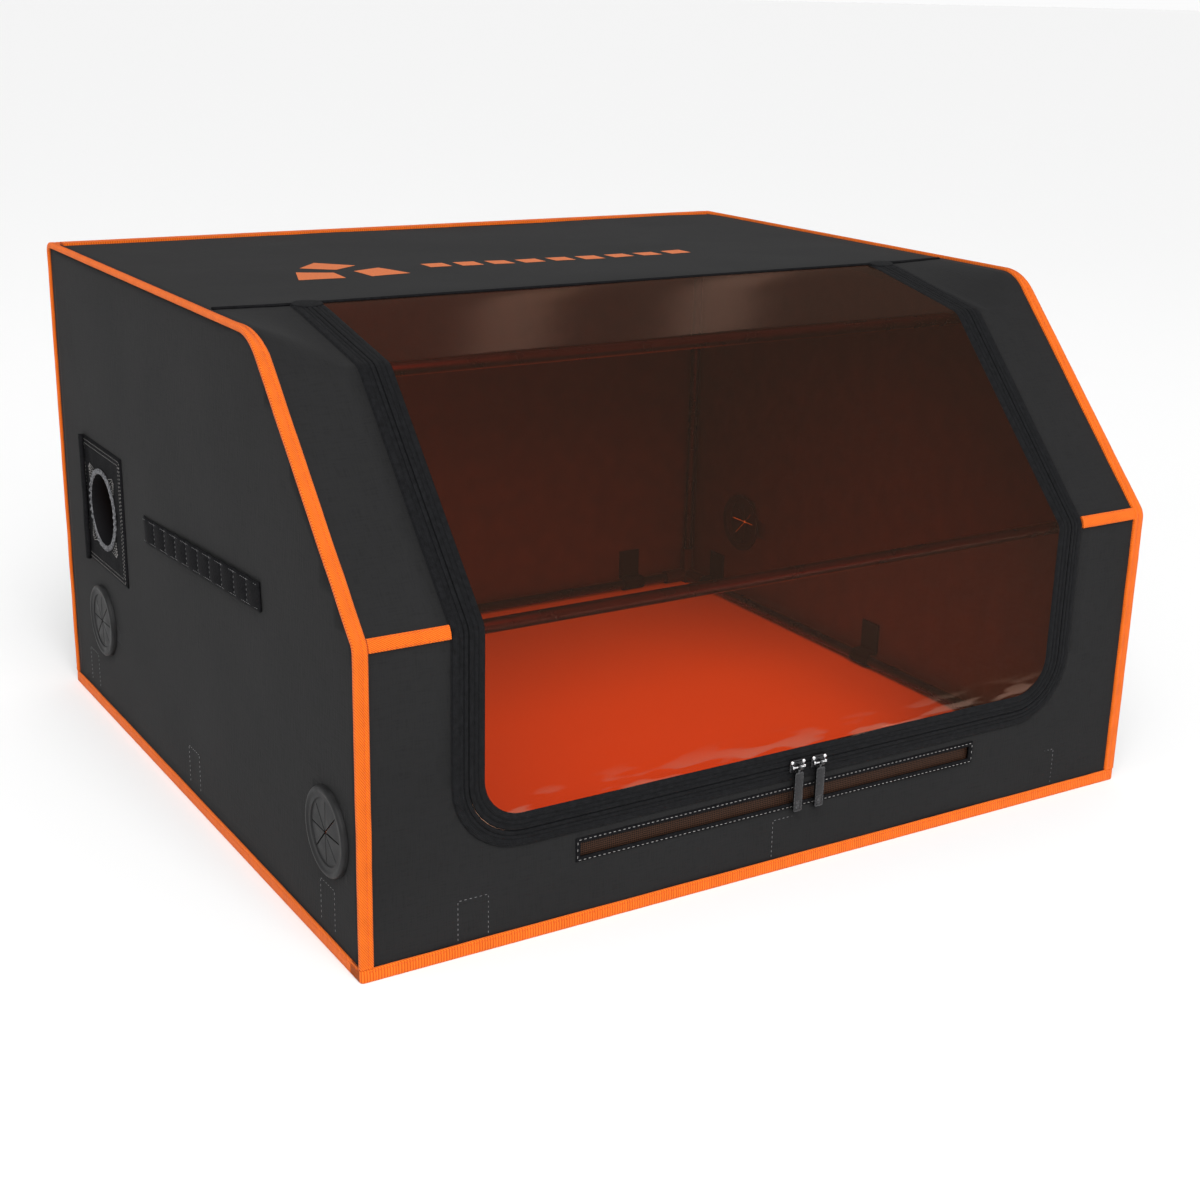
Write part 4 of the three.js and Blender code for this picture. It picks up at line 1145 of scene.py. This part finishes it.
mesh_cloth, parts, wires, surface = new_finish("brown_mesh", roughness=0.6, specular=0.1)
flat_map = weave_map(parts)
holes = parts.new("ShaderNodeTexVoronoi")
holes.feature = "DISTANCE_TO_EDGE"
holes.inputs["Scale"].default_value = 620.0
holes.inputs["Randomness"].default_value = 0.15
wires.new(flat_map.outputs["UV"], holes.inputs["Vector"])
# The sheet is opaque: the cells between its brown strands are painted near-black, a painted shade that stands
# for the dark inside of the tent seen through the holes.
strands_and_painted_shade = between(holes.outputs["Distance"], (0.06, 0.027, 0.015), (0.006, 0.0045, 0.004), 0.05, 0.22)
wires.new(strands_and_painted_shade, surface.inputs["Base Color"])
wires.new(raise_by(holes.outputs["Distance"], -0.0003), surface.inputs["Normal"])
bm = bmesh.new()
low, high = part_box("inlet_mesh")
sheet_verts = bmesh.ops.create_grid(bm, x_segments=60, y_segments=4, size=0.5)["verts"]
place = Matrix.Translation(((low.x + high.x) / 2, (low.z + high.z) / 2, 0)) @ Matrix.Diagonal(
    (high.x - low.x, high.z - low.z, 1.0, 1.0)
)
bmesh.ops.transform(bm, matrix=place, verts=sheet_verts)
chart(bm)
for vert in bm.verts:
    vert.co.z = -(low.y + half_depth) - 0.0002 + 0.0003 * noise.noise(vert.co / 0.02)
stand_up(bm)
mesh_piece = finished("inlet_mesh_cloth", bm, mesh_cloth)
give_thickness(mesh_piece, 0.0005)
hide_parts("inlet_mesh")

thread_pale = thread("pale_thread", (0.16, 0.155, 0.15), (0.3, 0.29, 0.28))
low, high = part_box("inlet_border")
border_section = [
    (-0.0006, -0.0030), (-0.0008, -0.0016), (-0.0004, -0.0011), (0.0010, -0.0010),
    (0.0026, -0.0011), (0.0030, -0.0016), (0.0030, -0.0024),
]
corners = [
    (-inlet_half, inlet_low), (inlet_half, inlet_low), (inlet_half, inlet_high), (-inlet_half, inlet_high)
]
outs = [Vector((-1, -1, 0)), Vector((1, -1, 0)), Vector((1, 1, 0)), Vector((-1, 1, 0))]
bm = bmesh.new()
walk = []
for i in range(4):
    (x0, y0), (x1, y1) = corners[i], corners[(i + 1) % 4]
    run = Vector((x1 - x0, y1 - y0, 0)).normalized()
    side_out = run.cross(Vector((0, 0, 1)))
    for share in lines_between(0.0, 1.0, 0.04 if i % 2 == 0 else 0.5):
        mitre = outs[i] if share < 1e-9 else outs[(i + 1) % 4] if share > 1 - 1e-9 else side_out
        at = Vector((x0, y0, 0)).lerp(Vector((x1, y1, 0)), share)
        if not walk or (walk[-1][0] - at).length > 1e-6:
            walk.append((at, mitre))
bm_ring = []
for at, mitre in walk[:-1] if (walk[0][0] - walk[-1][0]).length < 1e-6 else walk:
    bm_ring.append([bm.verts.new(at + mitre * across + Vector((0, 0, up))) for across, up in border_section])
for a, b in zip(bm_ring, bm_ring[1:] + bm_ring[:1]):
    edges = [bm.edges.get((p, q)) or bm.edges.new((p, q)) for ring in (a, b) for p, q in zip(ring, ring[1:])]
    bmesh.ops.bridge_loops(bm, edges=edges)
bmesh.ops.recalc_face_normals(bm, faces=bm.faces[:])
chart(bm)
stand_up(bm)
border = finished("inlet_bound_edge", bm, webbing)
give_thickness(border, 0.0002)
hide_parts("inlet_border")
rows = bmesh.new()
grow = 0.0018
line = [(x + math.copysign(grow, x), z + (grow if z > 0.058 else -grow)) for x, z in corners]
add_stitches(rows, [*line, line[0]], pitch=0.0040, long=0.0026, thick=0.0006, lift=-0.0009)
stand_up(rows)
finished("inlet_stitches", rows, thread_pale)

# ------------------------------------------------------------------ duct port
# A square patch of webbing cloth sewn round the hole in the left side. An elastic
# sleeve is gathered into the hole, held at four corners by pale bar tacks. The port's
# cover is rolled up along the patch's rear edge.

on_left_wall = walls()["left"][0]
elastic, parts, wires, surface = new_finish("grey_elastic", roughness=0.8, specular=0.2, sheen=0.08)
own = parts.new("ShaderNodeTexCoord").outputs["Object"]
crimped = speckle(own, 0.0018, detail=5.0)
wires.new(between(crimped, (0.035, 0.036, 0.04), (0.19, 0.19, 0.2), 0.35, 0.75), surface.inputs["Base Color"])
wires.new(raise_by(crimped, 0.0006), surface.inputs["Normal"])


def turn_round(bm, section, steps):
    """Turns a closed section of (radius, up) points round the upright axis."""
    ring = [bm.verts.new((radius, 0.0, up)) for radius, up in section]
    edges = [bm.edges.new((a, b)) for a, b in zip(ring, ring[1:] + ring[:1])]
    bmesh.ops.spin(
        bm, geom=ring + edges, cent=(0, 0, 0), axis=(0, 0, 1), angle=2 * math.pi, steps=steps, use_merge=True
    )
    bmesh.ops.remove_doubles(bm, verts=bm.verts[:], dist=1e-6)
    bmesh.ops.recalc_face_normals(bm, faces=bm.faces[:])


patch_half_y, patch_half_z = 0.0535, 0.056
port_radius = 0.031
bm = cut_flat(
    rectangle(-patch_half_y, patch_half_y, -patch_half_z, patch_half_z),
    [ring_line(0.0, 0.0, port_radius + 0.002)],
    lines_between(-patch_half_y + 0.006, patch_half_y - 0.006, 0.006),
    lines_between(-patch_half_z + 0.006, patch_half_z - 0.006, 0.006),
)
chart(bm)
patch_area = flat_area(bm)
for vert in bm.verts:
    x, y, _ = vert.co
    from_edge = min(patch_half_y - abs(x), patch_half_z - abs(y))
    pucker = 0.0007 * noise.noise(Vector((x / 0.014, y / 0.014, 0.0))) * min(1.0, from_edge / 0.01)
    vert.co.z = -0.0016 + min(0.0010, from_edge * 0.4) + pucker
bm.transform(on_left_wall @ Matrix.Translation((-vent_y, vent_z, 0)))
patch = finished("duct_patch", bm, webbing)
give_thickness(patch, 0.0008)
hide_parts("vent_patch")

rows = bmesh.new()
for inset in (0.003, 0.0065):
    loop = rectangle(-patch_half_y + inset, patch_half_y - inset, -patch_half_z + inset, patch_half_z - inset)
    add_stitches(rows, [*loop, loop[0]], lift=-0.0004)
for turn in range(4):
    angle = math.radians(45 + 90 * turn)
    reach = Vector((math.cos(angle), math.sin(angle)))
    aside = Vector((-reach.y, reach.x))
    for spread in (-0.008, -0.004, 0.0, 0.004, 0.008):
        near_hole = reach * (port_radius + 0.006) + aside * spread
        far = reach * (port_radius + 0.016) + aside * spread * 0.25
        add_stitches(
            rows, [tuple(near_hole), tuple(far)], pitch=0.0022, long=0.0020, thick=0.0006, lift=0.0003
        )
rows.transform(on_left_wall @ Matrix.Translation((-vent_y, vent_z, 0)))
finished("duct_patch_stitches", rows, thread_pale)

low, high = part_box("vent_collar")
sleeve_section = [
    (port_radius, -(high.x + half_width)), (port_radius - 0.0002, -0.006), (port_radius, 0.0004),
    (port_radius + 0.0008, 0.0013), (port_radius + 0.0022, 0.0014), (port_radius + 0.0036, 0.0010),
    (port_radius + 0.0048, 0.0004), (port_radius + 0.0044, -0.0002),
    (port_radius + 0.0024, 0.0006), (port_radius + 0.0020, -(high.x + half_width)),
]
bm = bmesh.new()
turn_round(bm, sleeve_section, 144)
for vert in bm.verts:
    radius = vert.co.xy.length
    angle = math.atan2(vert.co.y, vert.co.x)
    crimp = 0.0006 * math.sin(36 * angle) + 0.0009 * noise.noise(
        Vector((math.cos(angle), math.sin(angle), 0)) * 7
    )
    if vert.co.z > 0:
        vert.co.z = min(vert.co.z + crimp * min(1.0, (radius - port_radius) / 0.002), 0.0045)
        vert.co.xy *= 1 + 0.4 * crimp / radius
# Painted shade: the sleeve's inner wall, down in the hole, takes the black webbing finish instead of the grey
# elastic, to stand for the shade inside the hole.
for face in bm.faces:
    face.material_index = 0 if face.calc_center_median().z > -0.0006 else 1
bm.transform(on_left_wall @ Matrix.Translation((-vent_y, vent_z, 0)))
sleeve = finished("duct_sleeve", bm, elastic)
sleeve.data.materials.append(webbing)
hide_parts("vent_collar")

low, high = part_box("vent_patch")
bm = bmesh.new()
outer_roll = [
    (0.0034 * math.cos(t) * 1.1, 0.0022 * math.sin(t)) for t in [i / 20 * 2 * math.pi for i in range(20)]
]
stations = [
    station(
        Vector((-(high.y - 0.0042) + 0.0005 * noise.noise(Vector((z / 0.03, 0, 7))), z, 0.0012)),
        Vector((1, 0, 0)), Vector((0, 1, 0)),
    )
    for z in lines_between(low.z, high.z, 0.006)
]
run_along(bm, outer_roll, stations)
chart_run(bm)
for vert in bm.verts:
    vert.co.z += 0.0004 * noise.noise(Vector((vert.co.x / 0.004, vert.co.y / 0.02, 3.0)))
bm.transform(on_left_wall)
finished("duct_cover_rolled", bm, webbing)

# ------------------------------------------------------------------ tie strap
# A flat webbing strap on the left side, sewn down across itself every few centimetres
# so that it stands out in low loops, and along both edges.

low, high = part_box("tie_strap")
strap_rise = math.radians(3.5)
strap_length, strap_height, strap_loops = 0.253, 0.022, 10
strap_y, strap_z = (low.y + high.y) / 2, (low.z + high.z) / 2
bm = bmesh.new()
grid = bmesh.ops.create_grid(bm, x_segments=160, y_segments=10, size=0.5)["verts"]
bmesh.ops.transform(bm, matrix=Matrix.Diagonal((strap_length, strap_height, 1.0, 1.0)), verts=grid)
chart(bm)
for vert in bm.verts:
    x, y, _ = vert.co
    place = (x / strap_length + 0.5) * strap_loops
    loop = math.sin(math.pi * (place % 1.0)) ** 0.7 if 0 < place < strap_loops else 0.0
    edge = min(1.0, (strap_height / 2 - abs(y)) / 0.0025)
    vert.co.z = 0.0012 + loop * (0.0005 + 0.0014 * edge) + 0.0003 * noise.noise(
        Vector((x / 0.01, y / 0.01, 0))
    )
strap_stand = on_left_wall @ Matrix.Translation(
    (-strap_y, strap_z, -cloth_sinks + 0.0003)
) @ Matrix.Rotation(strap_rise, 4, "Z")
bm.transform(strap_stand)
strap = finished("side_tie_strap", bm, webbing)
give_thickness(strap, 0.0012)
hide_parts("tie_strap")
rows = bmesh.new()
for edge in (-0.0088, 0.0088):
    add_stitches(rows, [(-strap_length / 2 + 0.002, edge), (strap_length / 2 - 0.002, edge)], lift=0.0026)
for i in range(strap_loops + 1):
    x = (i / strap_loops - 0.5) * strap_length
    x = max(-strap_length / 2 + 0.0025, min(strap_length / 2 - 0.0025, x))
    add_stitches(rows, [(x, -0.0095), (x, 0.0095)], lift=0.0014)
rows.transform(strap_stand)
finished("tie_strap_stitches", rows, thread_grey)

# ------------------------------------------------------------------ cable grommets
# Four moulded rubber grommets, two in each side. A rim holds a thin disc that is slit
# into eight petals, for cables to push through.

rubber, parts, wires, surface = new_finish("black_rubber", roughness=0.55, specular=0.15)
own = parts.new("ShaderNodeTexCoord").outputs["Object"]
bloom = speckle(own, 0.012, detail=5.0)
grit = speckle(own, 0.0007, detail=2.0)
wires.new(between(bloom, (0.011, 0.011, 0.0113), (0.02, 0.02, 0.0206)), surface.inputs["Base Color"])
wires.new(between(bloom, 0.42, 0.62), surface.inputs["Roughness"])
wires.new(raise_by(grit, 0.0001), surface.inputs["Normal"])

petal_radius, petals = 0.024, 8
rim_section = [
    (0.0235, -0.0022), (0.0235, 0.0006), (0.0240, 0.0013), (0.0262, 0.0014), (0.0276, 0.0016),
    (0.0284, 0.0022), (0.0296, 0.0024), (0.0308, 0.0022), (0.0316, 0.0015), (0.0320, 0.0004),
    (0.0320, -0.0019), (0.0262, -0.0019), (0.0262, -0.0046), (0.0300, -0.0046), (0.0300, -0.0070),
    (0.0235, -0.0070),
]
for hand in ("left", "right"):
    wall = walls()[hand][0]
    facing = -1 if hand == "left" else 1
    for end, (y, z) in grommet_places.items():
        bm = bmesh.new()
        turn_round(bm, rim_section, 72)
        for i in range(petals):
            middle = 2 * math.pi * (i + 0.5) / petals
            spread = math.pi / petals
            gap = 0.0005
            rim = []
            for j in range(7):
                turn = middle - spread + 2 * spread * j / 6
                rim.append(Vector((petal_radius * math.cos(turn), petal_radius * math.sin(turn), 0.0)))
            tip = Vector((math.cos(middle), math.sin(middle), 0.0)) * (gap / math.sin(spread))
            sides = []
            for turn, side in ((middle - spread, 1), (middle + spread, -1)):
                along = Vector((math.cos(turn), math.sin(turn), 0.0))
                away = Vector((-along.y, along.x, 0.0)) * side * gap
                sides.append(along * (petal_radius * 0.86) + away)
            petal = [tip, sides[0], *rim, sides[1]]
            verts = [bm.verts.new(point) for point in petal]
            face = bm.faces.new(verts)
            if face.normal.z < 0:
                face.normal_flip()
            curl = 0.0005 * (1 + noise.noise(Vector((i * 1.7, y * 9, z * 7 + facing))))
            grown = bmesh.ops.extrude_face_region(bm, geom=[face])["geom"]
            top = [part for part in grown if isinstance(part, bmesh.types.BMVert)]
            bmesh.ops.translate(bm, vec=(0, 0, 0.0013), verts=top)
            for vert in top + verts:
                vert.co.z += -0.0009 + curl * (1 - vert.co.xy.length / petal_radius)
        bmesh.ops.recalc_face_normals(bm, faces=bm.faces[:])
        facing_out = wall @ Matrix.Translation((facing * y, z, 0))
        bm.transform(facing_out)
        grommet = finished(f"rubber_grommet_{end}_{hand}", bm, rubber)
        grommet.data.set_sharp_from_angle(angle=math.radians(35))
        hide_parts(f"cable_grommet_{end}_{hand}")

# ------------------------------------------------------------------ roof print
# A plain pattern screen-printed on the roof in orange ink: a ring of three rhombs and
# a row of short bars.

ink, parts, wires, surface = new_finish("orange_ink", roughness=0.55)
own = parts.new("ShaderNodeTexCoord").outputs["Object"]
thin = speckle(own, 0.0012, detail=4.0)
wires.new(between(thin, (0.38, 0.075, 0.012), (0.62, 0.14, 0.022), 0.25, 0.55), surface.inputs["Base Color"])
wires.new(raise_by(thin, 0.0001), surface.inputs["Normal"])
print_row = seam_line + 0.135
bm = bmesh.new()


def printed(corners):
    bm.faces.new([bm.verts.new((x, y, 0.0)) for x, y in corners])


badge = Vector((-0.182, print_row - 0.002))
for i in range(3):
    turn = math.radians(90 + 120 * i)
    tip = badge + 0.056 * heading_of(turn)
    inner = badge + 0.010 * heading_of(turn)
    wing_left = badge + 0.037 * heading_of(turn + math.radians(42))
    wing_right = badge + 0.037 * heading_of(turn - math.radians(42))
    printed([inner, wing_right, tip, wing_left])
for i in range(9):
    x = -0.105 + i * 0.030
    printed(
        [
            (x, print_row - 0.010), (x + 0.020, print_row - 0.010), (x + 0.020, print_row + 0.010),
            (x, print_row + 0.010)
        ]
    )
for face in bm.faces:
    if face.normal.z < 0:
        face.normal_flip()
bmesh.ops.subdivide_edges(bm, edges=bm.edges[:], cuts=3, use_grid_fill=True)
for vert in bm.verts:
    vert.co.z = -cloth_sinks + slack(Vector((vert.co.x, vert.co.y, 0.0))) + 0.0002
stand_up(bm)
finished("roof_print", bm, ink)

# ------------------------------------------------------------------ floor, lights and camera
# The tent stands on a plain pale floor in soft studio light.

pale, parts, wires, surface = new_finish("pale_floor", roughness=0.9, specular=0.1)
surface.inputs["Base Color"].default_value = (0.86, 0.86, 0.86, 1.0)
bm = bmesh.new()
bmesh.ops.create_grid(bm, x_segments=1, y_segments=1, size=300.0)
mesh = bpy.data.meshes.new("floor")
bm.to_mesh(mesh)
bm.free()
mesh.materials.append(pale)
floor = bpy.data.objects.new("floor", mesh)
bpy.context.scene.collection.objects.link(floor)

world = bpy.data.worlds.new("studio")
bpy.context.scene.world = world
world.use_nodes = True
sky = world.node_tree
height = sky.nodes.new("ShaderNodeTexCoord")
split = sky.nodes.new("ShaderNodeSeparateXYZ")
sky.links.new(height.outputs["Generated"], split.inputs["Vector"])
sky.links.new(between(split.outputs["Z"], 0.97, 0.42, 0.012, 0.03), sky.nodes["Background"].inputs["Color"])


def soft_lamp(name, at, aim, width, height, power):
    data = bpy.data.lights.new(name, "AREA")
    data.shape = "RECTANGLE"
    data.size, data.size_y = width, height
    data.energy = power
    lamp = bpy.data.objects.new(name, data)
    lamp.location = at
    lamp.rotation_euler = (Vector(aim) - Vector(at)).to_track_quat("-Z", "Y").to_euler()
    bpy.context.scene.collection.objects.link(lamp)


sun = bpy.data.lights.new("overhead_glow", "SUN")
sun.energy = 2.7
sun.angle = math.radians(50)
overhead = bpy.data.objects.new("overhead_glow", sun)
overhead.rotation_euler = Vector((0.35, 0.75, -1.0)).to_track_quat("-Z", "Y").to_euler()
bpy.context.scene.collection.objects.link(overhead)
soft_lamp("front_softbox", (-0.6, -2.6, 1.5), (0.0, -0.1, 0.1), 1.6, 1.0, 26.0)
soft_lamp("side_softbox", (-2.6, -0.2, 1.4), (-0.3, 0.0, 0.2), 1.4, 1.0, 10.0)
soft_lamp("low_softbox", (1.35, -2.3, 0.35), (0.0, -0.3, 0.1), 1.2, 0.3, 5.0)
for name, at in (("rear_strip_one", (1.30, 2.04, 1.90)), ("rear_strip_two", (1.77, 1.91, 1.80))):
    soft_lamp(name, at, (0.0, -0.12, 0.4), 0.17, 0.6, 0.45)

camera = bpy.data.cameras.new("camera")
camera.sensor_width = 36.0
camera.lens = 54.9
view = bpy.data.objects.new("camera", camera)
ahead = Vector((0.50198, 0.80562, -0.31463)).normalized()
upright = Vector((0.1463, 0.27945, 0.94895))
right = ahead.cross(upright).normalized()
upright = right.cross(ahead)
camera_at = Matrix.Translation((-0.7867, -1.3109, 0.6278))
view.matrix_world = camera_at @ Matrix((right, upright, -ahead)).transposed().to_4x4()
bpy.context.scene.collection.objects.link(view)
bpy.context.scene.camera = view
bpy.context.scene.view_settings.view_transform = "Standard"

bpy.context.view_layer.update()
